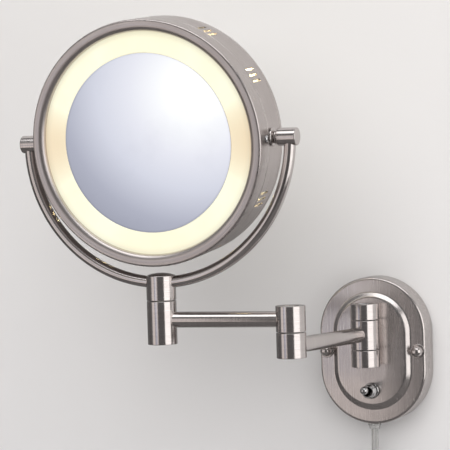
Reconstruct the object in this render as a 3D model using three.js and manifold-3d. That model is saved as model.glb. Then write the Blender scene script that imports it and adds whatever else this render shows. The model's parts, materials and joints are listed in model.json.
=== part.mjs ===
// Two-sided, halo-lit shaving mirror on a double swing arm and an obround wall plate.
// Millimetres, +Z up. The wall is the plane y = 0 and the mirror hangs on its -Y side.
// The origin is the centre of the mounting bracket's flat back face.
import * as THREE from 'three';
import { mergeVertices } from 'three/addons/utils/BufferGeometryUtils.js';
import Module from 'manifold-3d';

const gap = 0.3; // between pieces that touch
const degree = Math.PI / 180;

// Wall plate
const plateHalfWidth = 47.5;
const plateHalfHeight = 63.5;
const plateDepth = 22.5;
const plateWall = 1.6;
const plateEdge = 2; // rounded front edge
const plateauHalfWidth = 34.5; // at its foot
const plateauHalfHeight = 50;
const plateauRise = 4.5;
const plateauSlope = 4.4; // how far its side leans in
const coverScrewX = 41;
const coverScrewRadius = 2;
const screwHoleRadius = 2.6;
const plateauFront = -(plateDepth + plateauRise);
const behindPlateau = plateauFront + plateWall + 2 * gap; // where nuts and the switch start

// Mounting bracket behind the plate
const bracketHalfLength = 44.5;
const bracketHalfHeight = 11;
const bracketThickness = 2.4;
const bracketScrewRadius = 2.4; // clears the cover screws
const wallHoleX = 22;
const wallHoleRadius = 2.4;

// Arms and knuckles. Heights are above the plate's centre.
const knuckleRadius = 12.2;
const pinRadius = 4;
const armRadius = 6.5;
const armWall = 1.5;
const armSocketDepth = 3.5;
const armLength = 110; // between hinge axes, both arms
const wallAxisY = -40.8;
const lowerEar = [-11.9, 2.7];
const wallHub = [3.2, 28.2];
const upperEar = [28.7, 42.2];
const elbowLower = [6.5, 27.2];
const elbowUpper = [27.9, 49.1];
const headHub = [17.8, 53.6];
const yokeHub = [54.3, 74.6];
const yokeHubDome = 2.3;
const innerArmZ = 16;
const outerArmZ = 38;
const innerArmTurn = -14.5 * degree; // 0 points straight out from the wall
const outerArmTurn = -84.6 * degree;
const nutRadius = 6.6; // across its corners
const nutThickness = 4;
const nutPocketRadius = 7;
const pinHeadRadius = 6.6;
const pinHeadThickness = 1.4;
const pinLetIn = 0.7; // a pin's end below its knuckle's face
const nutLetIn = 0.5;
const earNeckRadius = 5.5;
const earBoltRadius = 3;
const earBoltLength = 7.6;
const earNutRadius = 6;
const earNutThickness = 3.8;
const washerRadius = 9;
const washerThickness = 0.8;

// Yoke, as a half ring about the head's tilt axis
const pivotZ = 186;
const yokeRadius = 117;
const yokeTubeRadius = 4.8;
const yokeTubeWall = 1.2;
const yokeEndRadius = 7.3;
const yokeEndFrom = 107.2;
const yokeEndTo = 123.5;
const yokeTubeTop = -4.3; // where the tube stops inside each yoke end
const yokePinDepth = 7; // how far the head's pin goes into the yoke's hub

// Head, front towards -Y in its own frame
const headTilt = 6 * degree; // the front looks slightly down
const headRadius = 101.5;
const headHalfDepth = 25.5;
const skin = 1.6;
const spigotRadius = 99.6;
const spigotWall = 2;
const frontSeam = -7;
const rearSeam = 19.8;
const lipRadius = 91.5; // the halo shows inside this
const faceInner = 97.4; // inner edge of the bezel's flat face
const slopeDrop = 2.5; // from there the bezel slopes back to its lip
const glassRadius = 73.9;
const glassFace = 19.6;
const glassThickness = 3;
const dishDepth = 4.4; // of the magnifying glass
const diffuserFace = 20;
const diffuserThickness = 1.7;
const diffuserRadius = 97.2;
const carrierWallRadius = 70;
const carrierWall = 1.6;
const carrierFlangeRadius = 77;
const carrierWebRadius = 97.3;
const carrierHoleRadius = 30;
const ventAngles = [30, 60, 120, 150, 210, 240, 300, 330];
const ventPitch = 3.1; // degrees between slots
const ventLength = 17;
const ventWidth = 2.2;
const ventCentre = 3;
const lampAngles = [45, 135, 225, 315];
const lampRadius = 84.5; // from the head's centre
const lampGlassRadius = 4.6;
const pivotStudRadius = 3;
const pivotFlangeRadius = 7.8;
const pivotFlangeThickness = 2.6;
const pivotStudDepth = 12; // inside the yoke's end
const bezelScrewY = -13;
const bezelScrewHole = 1.8;

// Switch on the plateau
const switchZ = -34;
const bushingRadius = 5.8;
const bushingBore = 4.2;
const bushingFront = -38;
const switchNutRadius = 7;
const switchNutThickness = 2.2;
const togglePivotY = -31.5;
const toggleReach = 16;
const toggleTilt = 8 * degree; // up is on
const toggleTipRadius = 3.6;

// Cord, leaving downwards at the bottom of the plate
const cordX = -2;
const cordY = -15;
const cordRadius = 3;
const cordHoleRadius = 4.6;
const cordRoute = [
  [cordX, cordY, -68.7],
  [cordX, cordY, -77],
  [cordX, -15.6, -85],
  [-1.5, -16.6, -90.4],
  [-0.1, -17.7, -95.7],
  [2.2, -19, -100.6],
];
const coilCentre = [-6.5, cordY, -147];
const coilRadius = 34.3; // to the middle of its turns, three deep and three side by side
const coilHalfSection = 9;
const tieThickness = 1.3;
const plugX = 33.8;
const plugY = -11;
const plugTopZ = -169.4;

const roundFine = 48;
const roundInner = 36;
const roundKnuckle = 24;
const roundTube = 20;
const roundSmall = 12;

const wasm = await Module();
wasm.setup();

const nickel = surface(0xa8a09e, 0.34, 1);
const chrome = surface(0xd2d2d4, 0.12, 1);
const zinc = surface(0x9aa0a4, 0.45, 1);
const mirrorFace = surface(0xdfe3e6, 0.03, 1);
const frosted = surface(0xfff2cf, 0.6, 0);
const lampGlass = surface(0xfff6e0, 0.15, 0);
const whiteEnamel = surface(0xf1efe9, 0.5, 0);
const ceramic = surface(0xece6da, 0.7, 0);
const nylon = surface(0xe9e6df, 0.55, 0);
const darkPlastic = surface(0x26262a, 0.5, 0);
const clearPvc = surface(0xdcd9d2, 0.25, 0);

function surface(color, roughness, metalness) {
  return new THREE.MeshStandardMaterial({ color, roughness, metalness });
}

// A solid of revolution. The profile holds [radius, height] pairs, anticlockwise, on or off the axis.
function turned(axis, profile, segments) {
  const points = profile.map(([radius, height]) => new THREE.Vector2(radius, height));
  const geometry = new THREE.LatheGeometry(points, segments);
  if (axis === 'x') geometry.rotateZ(-Math.PI / 2);
  if (axis === 'z') geometry.rotateX(Math.PI / 2);
  return geometry;
}

function rod(axis, radius, low, high, segments = roundSmall) {
  return turned(axis, [[0, low], [radius, low], [radius, high], [0, high]], segments);
}

function ring(axis, inner, outer, low, high, segments) {
  return turned(axis, closed([[inner, low], [outer, low], [outer, high], [inner, high]]), segments);
}

function closed(profile) {
  return [...profile, profile[0]];
}

// The same profile seen from the other face of the head.
function mirrored(profile) {
  return profile.map(([radius, height]) => [radius, -height]).reverse();
}

function block(sizeX, sizeY, sizeZ, x = 0, y = 0, z = 0) {
  return new THREE.BoxGeometry(sizeX, sizeY, sizeZ).translate(x, y, z);
}

function toSolid(geometry) {
  const bare = geometry.clone();
  bare.deleteAttribute('normal');
  bare.deleteAttribute('uv');
  const merged = mergeVertices(bare, 1e-4);
  const mesh = new wasm.Mesh({
    numProp: 3,
    vertProperties: new Float32Array(merged.attributes.position.array),
    triVerts: new Uint32Array(merged.index.array),
  });
  return new wasm.Manifold(mesh);
}

function toGeometry(solid) {
  const mesh = solid.getMesh();
  const geometry = new THREE.BufferGeometry();
  geometry.setAttribute('position', new THREE.BufferAttribute(mesh.vertProperties, 3));
  geometry.setIndex(new THREE.BufferAttribute(mesh.triVerts, 1));
  geometry.computeVertexNormals();
  return geometry;
}

function join(first, ...others) {
  return toGeometry(others.reduce((solid, other) => solid.add(toSolid(other)), toSolid(first)));
}

function cut(body, ...tools) {
  return toGeometry(tools.reduce((solid, tool) => solid.subtract(toSolid(tool)), toSolid(body)));
}

// An upright outline with round ends.
function obround(halfWidth, halfHeight) {
  const shape = new THREE.Shape();
  const straight = halfHeight - halfWidth;
  shape.absarc(0, straight, halfWidth, 0, Math.PI);
  shape.absarc(0, -straight, halfWidth, Math.PI, 2 * Math.PI);
  return shape;
}

// That outline pushed forwards (towards -Y) from y = start by depth.
function slab(halfWidth, halfHeight, start, depth) {
  const settings = { depth, bevelEnabled: false, curveSegments: 12 };
  const geometry = new THREE.ExtrudeGeometry(obround(halfWidth, halfHeight), settings);
  return geometry.rotateX(Math.PI / 2).translate(0, start, 0);
}

// The same with sloping sides: full size over depth, then narrower by slope over rise at each end.
function slopedSlab(halfWidth, halfHeight, start, depth, rise, slope, steps) {
  const settings = { depth, bevelThickness: rise, bevelSize: slope, bevelSegments: steps, curveSegments: 12 };
  const geometry = new THREE.ExtrudeGeometry(obround(halfWidth - slope, halfHeight - slope), settings);
  return geometry.rotateX(Math.PI / 2).translate(0, start, 0);
}

function add(parent, name, geometry, material) {
  const mesh = new THREE.Mesh(geometry, material);
  mesh.name = name;
  parent.add(mesh);
  return mesh;
}

function frameAt(parent, x, y, z) {
  const group = new THREE.Group();
  group.position.set(x, y, z);
  parent.add(group);
  return group;
}

// A point of the yoke's circle, measured in degrees from straight down.
function yokePoint(fromBottom) {
  const turn = fromBottom * degree;
  return new THREE.Vector3(yokeRadius * Math.sin(turn), 0, -yokeRadius * Math.cos(turn));
}

class YokeArc extends THREE.Curve {
  constructor(halfAngle) {
    super();
    this.halfAngle = halfAngle;
  }

  getPoint(share, target = new THREE.Vector3()) {
    return target.copy(yokePoint((2 * share - 1) * this.halfAngle));
  }
}

function yokeTubeSolid(radius, halfAngle, steps, sides) {
  const shape = new THREE.Shape();
  for (let side = 0; side < sides; side += 1) {
    const turn = (2 * Math.PI * side) / sides;
    const move = side === 0 ? 'moveTo' : 'lineTo';
    shape[move](radius * Math.cos(turn), radius * Math.sin(turn));
  }
  return new THREE.ExtrudeGeometry(shape, { steps, extrudePath: new YokeArc(halfAngle) });
}

// ---- wall side ----

function makeWallPlate(parent) {
  const body = slopedSlab(
    plateHalfWidth, plateHalfHeight, 0, plateDepth - plateEdge, plateEdge, plateEdge, 2,
  );
  const plateau = slopedSlab(
    plateauHalfWidth, plateauHalfHeight, -plateDepth + 1, 1, plateauRise, plateauSlope, 1,
  );
  const behindWall = block(200, 20, 200, 0, 10, 0);
  const cavity = slab(
    plateHalfWidth - plateWall, plateHalfHeight - plateWall, 1, plateDepth - plateWall + 1,
  );
  const innerHalfWidth = plateauHalfWidth - plateauSlope - plateWall + gap;
  const innerHalfHeight = plateauHalfHeight - plateauSlope - plateWall + gap;
  const cavityBack = -plateDepth + 4;
  const cavityDepth = cavityBack - plateauFront - plateWall;
  const plateauCavity = slab(innerHalfWidth, innerHalfHeight, cavityBack, cavityDepth);
  const holes = [
    frontHole(screwHoleRadius, coverScrewX, 0),
    frontHole(screwHoleRadius, -coverScrewX, 0),
    frontHole(earBoltRadius + gap, 0, middle(upperEar)),
    frontHole(earBoltRadius + gap, 0, middle(lowerEar)),
    frontHole(bushingRadius + gap, 0, switchZ, roundTube),
    rod('z', cordHoleRadius, -80, -50).translate(cordX, cordY, 0),
  ];
  add(parent, 'wall_plate', cut(join(body, plateau), behindWall, cavity, plateauCavity, ...holes), nickel);
}

function frontHole(radius, x, z, segments = roundSmall) {
  return rod('y', radius, -40, -10, segments).translate(x, 0, z);
}

function makeMountingBracket(parent) {
  const strap = block(
    2 * bracketHalfLength, bracketThickness, 2 * bracketHalfHeight, 0, -bracketThickness / 2, 0,
  );
  const holes = [-1, 1].flatMap((side) => [
    rod('y', wallHoleRadius, -10, 10).translate(side * wallHoleX, 0, 0),
    rod('y', bracketScrewRadius, -10, 10).translate(side * coverScrewX, 0, 0),
  ]);
  add(parent, 'mounting_bracket', cut(strap, ...holes), zinc);
}

function makeCoverScrews(parent) {
  const seat = -plateDepth - gap;
  const profile = [
    [0, seat - 8.2], [2.4, seat - 7.7], [4.2, seat - 6], [5, seat - 3.6], [5, seat - 1.6],
    [6.2, seat - 1.4], [6.2, seat], [coverScrewRadius, seat], [coverScrewRadius, -0.6], [0, -0.6],
  ];
  for (const [side, name] of [[-1, 'cover_screw_left'], [1, 'cover_screw_right']]) {
    add(parent, name, turned('y', profile, roundSmall).translate(side * coverScrewX, 0, 0), nickel);
  }
}

function middle([low, high]) {
  return (low + high) / 2;
}

// An ear stands on the plateau by a short neck and is bolted through it.
function makeEar(parent, name, [low, high], pocket) {
  const axis = frameAt(parent, 0, wallAxisY, 0);
  const centre = middle([low, high]);
  const toPlateau = plateauFront - gap - wallAxisY;
  const ear = join(
    rod('z', knuckleRadius, low, high, roundKnuckle),
    rod('y', earNeckRadius, 6, toPlateau).translate(0, 0, centre),
    rod('y', earBoltRadius, 6, toPlateau + earBoltLength).translate(0, 0, centre),
  );
  add(axis, name, cut(ear, rod('z', pinRadius + gap, low - 5, high + 5), pocket), nickel);
}

function makeEarNut(parent, name, [low, high]) {
  const end = behindPlateau + earNutThickness;
  const nut = cut(rod('y', earNutRadius, behindPlateau, end, 6), rod('y', earBoltRadius + gap, -40, -10));
  add(parent, name, nut.translate(0, 0, middle([low, high])), zinc);
}

// A hinge pin with a low head at the top and a nut at the bottom, both let into the knuckles.
function makeHingePin(parent, pinName, nutName, low, high) {
  const bottom = low + pinLetIn;
  const head = high - pinLetIn;
  const profile = [
    [0, bottom], [pinRadius, bottom], [pinRadius, head - pinHeadThickness],
    [pinHeadRadius, head - pinHeadThickness], [pinHeadRadius, head - 0.4],
    [pinHeadRadius - 0.8, head], [0, head],
  ];
  add(parent, pinName, turned('z', profile, roundSmall), zinc);
  add(parent, nutName, pinNut(low), zinc);
}

function pinNut(knuckleLow) {
  const bottom = knuckleLow + nutLetIn;
  const hole = rod('z', pinRadius + gap, bottom - 5, bottom + 9);
  return cut(rod('z', nutRadius, bottom, bottom + nutThickness, 6), hole);
}

function headPocket(high) {
  return rod('z', pinHeadRadius + 0.5, high - pinLetIn - pinHeadThickness - gap, high + 5);
}

function nutPocket(low) {
  return rod('z', nutPocketRadius, low - 5, low + nutLetIn + nutThickness + gap);
}

function makeSwitch(parent) {
  const place = frameAt(parent, 0, 0, switchZ);
  const housing = block(12, 12, 15, 0, behindPlateau + 7, 0);
  const terminals = block(8, 16, 17, 0, behindPlateau + 8, 0);
  add(place, 'switch_body', join(terminals, housing), darkPlastic);

  const nutBack = plateauFront - gap;
  const ribsBack = nutBack - switchNutThickness - 0.4;
  const pitch = 1.6;
  const ribs = [];
  for (let y = ribsBack; y > bushingFront + pitch; y -= pitch) {
    ribs.unshift([bushingRadius, y - pitch], [bushingRadius - 0.6, y - pitch / 2]);
  }
  const outline = closed([
    [bushingBore, bushingFront], [bushingRadius - 0.8, bushingFront], ...ribs,
    [bushingRadius, ribsBack], [bushingRadius, behindPlateau - gap], [bushingBore, behindPlateau - gap],
  ]);
  add(place, 'switch_bushing', turned('y', outline, roundTube), chrome);

  const nutInner = bushingRadius + gap;
  const nutFront = nutBack - switchNutThickness;
  const nut = closed([
    [nutInner, nutFront], [switchNutRadius - 0.5, nutFront], [switchNutRadius, nutFront + 0.9],
    [switchNutRadius, nutBack], [nutInner, nutBack],
  ]);
  add(place, 'switch_nut', turned('y', nut, roundTube), chrome);
}

function ballPoints(radius, centre, fromAngle, toAngle, steps) {
  const points = [];
  for (let step = 0; step <= steps; step += 1) {
    const turn = (fromAngle + ((toAngle - fromAngle) * step) / steps) * degree;
    points.push([radius * Math.cos(turn), centre + radius * Math.sin(turn)]);
  }
  points[0][0] = fromAngle === -90 ? 0 : points[0][0];
  points[steps][0] = toAngle === 90 ? 0 : points[steps][0];
  return points;
}

function makeToggleLever(parent) {
  const place = frameAt(parent, 0, togglePivotY, switchZ);
  place.rotation.x = -toggleTilt;
  const profile = [
    ...ballPoints(toggleTipRadius, -toggleReach, -90, 60, 6),
    ...ballPoints(toggleTipRadius, 0, -60, 90, 6),
  ];
  add(place, 'toggle_lever', turned('y', profile, roundSmall), chrome);
}

// ---- arms ----

// A knuckle with a vertical bore, and a socket on its side for an arm tube.
function knuckle([low, high], tools) {
  const body = rod('z', knuckleRadius, low, high, roundKnuckle);
  return cut(body, rod('z', pinRadius + gap, low - 5, high + 5), ...tools);
}

function armSocket(z, towards) {
  const from = knuckleRadius - armSocketDepth - gap;
  const hole = rod('y', armRadius + gap, from, 30, roundTube).translate(0, 0, z);
  return towards < 0 ? hole.rotateZ(Math.PI) : hole;
}

function armTube(z) {
  const end = knuckleRadius - armSocketDepth;
  const tube = ring('y', armRadius - armWall, armRadius, -(armLength - end), -end, roundTube);
  return tube.translate(0, 0, z);
}

function bearingWasher(knuckleHigh) {
  const low = knuckleHigh - gap;
  return ring('z', pinRadius + gap, washerRadius, low, low + washerThickness, roundTube);
}

function washerPocket(knuckleHigh) {
  return rod('z', washerRadius + 0.4, knuckleHigh - 2 * gap, knuckleHigh + 5, roundTube);
}

function makeInnerArm(parent) {
  const arm = frameAt(parent, 0, wallAxisY, 0);
  arm.rotation.z = innerArmTurn;
  const elbow = frameAt(arm, 0, -armLength, 0);
  add(arm, 'wall_hub', knuckle(wallHub, [armSocket(innerArmZ, -1)]), nickel);
  add(arm, 'inner_arm_tube', armTube(innerArmZ), nickel);
  const lowerTools = [armSocket(innerArmZ, 1), nutPocket(elbowLower[0]), washerPocket(elbowLower[1])];
  add(elbow, 'elbow_lower_hub', knuckle(elbowLower, lowerTools), nickel);
  add(elbow, 'elbow_washer', bearingWasher(elbowLower[1]), nylon);
  makeHingePin(elbow, 'elbow_pin', 'elbow_pin_nut', elbowLower[0], elbowUpper[1]);
}

function makeOuterArm(parent, elbowX, elbowY) {
  const arm = frameAt(parent, elbowX, elbowY, 0);
  arm.rotation.z = outerArmTurn;
  const end = frameAt(arm, 0, -armLength, 0);
  const upperTools = [armSocket(outerArmZ, -1), headPocket(elbowUpper[1])];
  add(arm, 'elbow_upper_hub', knuckle(elbowUpper, upperTools), nickel);
  add(arm, 'outer_arm_tube', armTube(outerArmZ), nickel);
  const headTools = [armSocket(outerArmZ, 1), nutPocket(headHub[0]), washerPocket(headHub[1])];
  add(end, 'head_hub', knuckle(headHub, headTools), nickel);
  add(end, 'head_swivel_washer', bearingWasher(headHub[1]), nylon);
}

// ---- yoke ----

function makeYoke(parent, x, y) {
  const yoke = frameAt(parent, x, y, 0);
  const ringFrame = frameAt(yoke, 0, 0, pivotZ);
  const halfAngle = 90 - Math.asin(-yokeTubeTop / yokeRadius) / degree;
  const tube = cut(
    yokeTubeSolid(yokeTubeRadius, halfAngle, 26, 12),
    yokeTubeSolid(yokeTubeRadius - yokeTubeWall, halfAngle + 1, 26, 8),
  );
  add(ringFrame, 'yoke_tube', tube, nickel);

  const [low, high] = yokeHub;
  const profile = [
    [0, low], [knuckleRadius, low], [knuckleRadius, high], [knuckleRadius * 0.72, high + yokeHubDome * 0.62],
    [knuckleRadius * 0.3, high + yokeHubDome * 0.95], [0, high + yokeHubDome],
  ];
  const crossBore = yokeTubeSolid(yokeTubeRadius + gap, 9, 4, 12).translate(0, 0, pivotZ);
  const pinBore = rod('z', pinRadius + gap, low - 5, low + yokePinDepth + gap);
  add(yoke, 'yoke_hub', cut(turned('z', profile, roundKnuckle), crossBore, pinBore), nickel);

  const pin = rod('z', pinRadius, headHub[0] + pinLetIn, low + yokePinDepth);
  add(yoke, 'head_swivel_pin', pin, zinc);
  add(yoke, 'head_swivel_nut', pinNut(headHub[0]), zinc);

  for (const [side, name] of [[-1, 'yoke_end_left'], [1, 'yoke_end_right']]) {
    add(ringFrame, name, yokeEnd(side), nickel);
  }
}

function yokeEnd(side) {
  const profile = [
    [0, yokeEndFrom], [yokeEndRadius - 0.6, yokeEndFrom], [yokeEndRadius, yokeEndFrom + 0.6],
    [yokeEndRadius, yokeEndTo - 0.8], [yokeEndRadius - 0.8, yokeEndTo], [0, yokeEndTo],
  ];
  const tubeHole = rod('z', yokeTubeRadius + 0.4, -20, yokeTubeTop + gap);
  const barrel = cut(
    turned('x', profile, roundTube),
    rod('x', pivotStudRadius + gap, yokeEndFrom - 5, yokeEndFrom + pivotStudDepth + gap),
    tubeHole.translate(yokeRadius - 0.15, 0, 0),
  );
  return side < 0 ? barrel.rotateZ(Math.PI) : barrel;
}

// ---- head ----

function bezelProfile(bandEnd) {
  const front = -headHalfDepth;
  const inside = headRadius - skin;
  return [
    [lipRadius, -diffuserFace - 0.9], [lipRadius + 0.5, front + slopeDrop], [faceInner, front],
    [headRadius - 1, front], [headRadius, front + 1],
    [headRadius, bandEnd], [inside, bandEnd], [inside, front + skin + 0.2],
    [faceInner, front + skin + 0.2], [lipRadius + 1.9, -diffuserFace - gap],
    [lipRadius, -diffuserFace - gap],
  ];
}

// A hole through the head's skin at its left and right ends.
function sideHoles(radius, y) {
  return [-1, 1].map((side) => (
    rod('x', radius, 90, 110).rotateZ(side < 0 ? Math.PI : 0).translate(0, y, 0)
  ));
}

function makeBezels(head) {
  const front = turned('y', closed(bezelProfile(frontSeam - gap)), roundFine);
  const rear = turned('y', closed(mirrored(bezelProfile(-rearSeam - gap))), roundFine);
  add(head, 'front_bezel', cut(front, ...sideHoles(bezelScrewHole, bezelScrewY)), nickel);
  add(head, 'rear_bezel', rear, nickel);
}

function ventSlots() {
  const slots = [];
  for (const angle of ventAngles) {
    for (const step of [-1, 0, 1]) {
      const slot = block(10, ventLength, ventWidth, headRadius - 1, ventCentre, 0);
      slots.push(slot.rotateY(-(angle + step * ventPitch) * degree));
    }
  }
  return slots;
}

function makeDrumShell(head) {
  const inner = spigotRadius - spigotWall;
  const rearEnd = headHalfDepth - skin - 0.5;
  const shell = turned('y', closed([
    [inner, -diffuserFace + diffuserThickness + gap], [spigotRadius, -diffuserFace + diffuserThickness + gap],
    [spigotRadius, frontSeam], [headRadius, frontSeam], [headRadius, rearSeam],
    [spigotRadius, rearSeam], [spigotRadius, rearEnd], [inner, rearEnd],
  ]), roundFine);
  const holes = [...sideHoles(bezelScrewHole, bezelScrewY), ...sideHoles(pivotStudRadius + gap, 0)];
  add(head, 'drum_shell', cut(shell, ...holes, ...ventSlots()), nickel);
}

function makeMirrorGlasses(head) {
  const back = glassFace - glassThickness;
  const flat = [[0, -glassFace], [glassRadius, -glassFace], [glassRadius, -back], [0, -back]];
  add(head, 'front_mirror_glass', turned('y', flat, roundFine), mirrorFace);

  const steps = 5;
  const under = [];
  for (let step = 0; step <= steps; step += 1) {
    const share = step / steps;
    under.push([glassRadius * share, back - dishDepth * (1 - share * share)]);
  }
  const over = under.map(([radius, height]) => [radius, height + glassThickness]).reverse();
  add(head, 'rear_mirror_glass', turned('y', [...under, ...over], roundInner), mirrorFace);
}

function makeDiffusers(head) {
  const inner = glassRadius + gap;
  const back = -diffuserFace + diffuserThickness;
  const foot = -glassFace + glassThickness;
  const profile = closed([
    [inner, -diffuserFace], [diffuserRadius, -diffuserFace], [diffuserRadius, back],
    [inner + 2, back], [inner + 2, foot], [inner, foot],
  ]);
  add(head, 'front_halo_diffuser', turned('y', profile, roundFine), frosted);
  add(head, 'rear_halo_diffuser', turned('y', mirrored(profile), roundFine), frosted);
}

// A turned spool: its flanges carry both glasses, and its web carries the lamps.
function makeMirrorCarrier(head) {
  const front = -glassFace + glassThickness + gap;
  const rear = -front - 0.5;
  const outside = carrierWallRadius + carrierWall;
  const spool = turned('y', closed([
    [carrierHoleRadius, -1], [carrierWallRadius, -1], [carrierWallRadius, front],
    [carrierFlangeRadius, front], [carrierFlangeRadius, front + 1.5], [outside, front + 1.5],
    [outside, -1], [carrierWebRadius, -1], [carrierWebRadius, 1], [outside, 1],
    [outside, rear - 1.5], [carrierFlangeRadius, rear - 1.5], [carrierFlangeRadius, rear],
    [carrierWallRadius, rear], [carrierWallRadius, 1], [carrierHoleRadius, 1],
  ]), roundInner);
  const windows = lampAngles.map((angle) => (
    block(11.6, 10, 30, lampRadius, 0, 1).rotateY(-angle * degree)
  ));
  const studNotches = [-1, 1].map((side) => block(20, 10, 16, side * 96, 0, 0));
  add(head, 'mirror_carrier', cut(spool, ...windows, ...studNotches), whiteEnamel);
}

// Each lamp lies along the halo, plugged into a holder at one end of its window.
function makeLamps(head) {
  const holderLow = 9.5;
  const holderHigh = 15.5;
  const glassLow = -11;
  const tip = ballPoints(lampGlassRadius, glassLow + lampGlassRadius, -90, 0, 4);
  const profile = [
    ...tip, [lampGlassRadius, 7.6], [3, 9.2], [3, holderHigh - 1.6], [0, holderHigh - 1.6],
  ];
  lampAngles.forEach((angle, index) => {
    const holder = cut(
      block(11, 12, holderHigh - holderLow, lampRadius, 0, (holderLow + holderHigh) / 2),
      rod('z', 3 + gap, holderLow - 3, holderHigh - 1.2).translate(lampRadius, 0, 0),
    );
    const lamp = turned('z', profile, roundSmall).translate(lampRadius, 0, 0);
    add(head, `lamp_holder_${index + 1}`, holder.rotateY(-angle * degree), ceramic);
    add(head, `lamp_${index + 1}`, lamp.rotateY(-angle * degree), lampGlass);
  });
}

function makePivots(head) {
  const flange = headRadius + gap;
  const flangeEnd = flange + pivotFlangeThickness;
  const studEnd = yokeEndFrom + pivotStudDepth;
  const stud = [
    [0, 90.5], [pivotStudRadius, 90.5], [pivotStudRadius, flange], [pivotFlangeRadius, flange],
    [pivotFlangeRadius, flangeEnd - 0.8], [pivotFlangeRadius - 1, flangeEnd],
    [pivotStudRadius, flangeEnd], [pivotStudRadius, studEnd], [0, studEnd],
  ];
  const washer = ring('x', pivotStudRadius + gap, 5.4, flangeEnd + gap, yokeEndFrom - gap, roundSmall);
  const nut = cut(rod('x', 5.6, 92.5, 96.9, 6), rod('x', pivotStudRadius + gap, 80, 110));
  const screw = [
    [0, 94.5], [1.5, 94.5], [1.5, flange], [2.9, flange], [2.6, flange + 0.9], [1.6, flange + 1.5],
    [0, flange + 1.8],
  ];
  for (const [side, word] of [[-1, 'left'], [1, 'right']]) {
    const face = side < 0 ? Math.PI : 0;
    const bezelScrew = turned('x', screw, roundSmall).rotateZ(face).translate(0, bezelScrewY, 0);
    add(head, `pivot_stud_${word}`, turned('x', stud, roundSmall).rotateZ(face), nickel);
    add(head, `pivot_washer_${word}`, washer.clone().rotateZ(face), nickel);
    add(head, `pivot_nut_${word}`, nut.clone().rotateZ(face), zinc);
    add(head, `bezel_screw_${word}`, bezelScrew, chrome);
  }
}

function makeHead(parent, x, y) {
  const head = frameAt(parent, x, y, pivotZ);
  head.rotation.x = headTilt;
  makeDrumShell(head);
  makeBezels(head);
  makeMirrorGlasses(head);
  makeDiffusers(head);
  makeMirrorCarrier(head);
  makeLamps(head);
  makePivots(head);
}

// ---- cord ----

function makeCordGrommet(parent) {
  const outside = -plateHalfHeight - gap;
  const collarEnd = outside - 4.6;
  const flange = outside + 3.2;
  const taperEnd = outside + 19;
  const neck = cordHoleRadius - gap;
  const collar = turned('z', [[0, collarEnd], [4.6, collarEnd], [5.8, outside], [0, outside]], roundTube);
  const neckAndTaper = turned('z', [
    [0, outside - 1], [neck, outside - 1], [neck, flange], [5.4, flange],
    [5.4, outside + 5], [3.8, taperEnd], [0, taperEnd],
  ], roundTube);
  collar.scale(1, 0.72, 1); // the cord is flat
  add(parent, 'cord_grommet', join(collar, neckAndTaper).translate(cordX, cordY, 0), clearPvc);
}

function makeCord(parent) {
  const points = cordRoute.map((point) => new THREE.Vector3(...point));
  const section = new THREE.Shape();
  section.absarc(0, 0, cordRadius, 0, 2 * Math.PI);
  const path = new THREE.CatmullRomCurve3(points, false, 'centripetal');
  const settings = { steps: 5, curveSegments: 4, extrudePath: path };
  add(parent, 'power_cord', new THREE.ExtrudeGeometry(section, settings), clearPvc);

  const inside = coilRadius - coilHalfSection;
  const outside = coilRadius + coilHalfSection;
  const coil = ring('y', inside, outside, -coilHalfSection, coilHalfSection, roundKnuckle);
  add(parent, 'cord_coil', coil.translate(...coilCentre), clearPvc);

  const hole = 2 * coilHalfSection + 3 * gap;
  const band = hole + 2 * tieThickness;
  const tie = cut(block(band, band, 5), block(hole, hole, 9));
  const tieX = coilCentre[0] - coilRadius;
  add(parent, 'cord_tie', tie.translate(tieX, coilCentre[1], coilCentre[2]), darkPlastic);
}

function makePlug(parent) {
  const relief = turned('z', [[0, -13], [4.6, -13], [3.2, 0], [0, 0]], roundSmall);
  const body = block(24, 15, 28, 0, 0, -26);
  const blades = [-1, 1].map((side) => block(1.5, 6.3, 17, side * 6.35, 0, -48));
  const plug = join(body, relief, ...blades);
  add(parent, 'plug', plug.translate(plugX, plugY, plugTopZ), clearPvc);
}

// ---- the whole ----

const group = new THREE.Group();
group.name = 'shaving_mirror';
const elbowX = armLength * Math.sin(innerArmTurn);
const elbowY = wallAxisY - armLength * Math.cos(innerArmTurn);
const headX = elbowX + armLength * Math.sin(outerArmTurn);
const headY = elbowY - armLength * Math.cos(outerArmTurn);

makeMountingBracket(group);
makeWallPlate(group);
makeCoverScrews(group);
makeEar(group, 'upper_ear', upperEar, headPocket(upperEar[1]));
makeEar(group, 'lower_ear', lowerEar, nutPocket(lowerEar[0]));
makeEarNut(group, 'upper_ear_nut', upperEar);
makeEarNut(group, 'lower_ear_nut', lowerEar);
makeHingePin(frameAt(group, 0, wallAxisY, 0), 'wall_pin', 'wall_pin_nut', lowerEar[0], upperEar[1]);
makeSwitch(group);
makeToggleLever(group);
makeInnerArm(group);
makeOuterArm(group, elbowX, elbowY);
makeYoke(group, headX, headY);
makeHead(group, headX, headY);
makeCordGrommet(group);
makeCord(group);
makePlug(group);

export default group;
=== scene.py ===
import json
from math import asin, cos, dist, pi, radians, sin

import bmesh
import bpy
import numpy as np
from mathutils import Matrix, Vector


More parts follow.
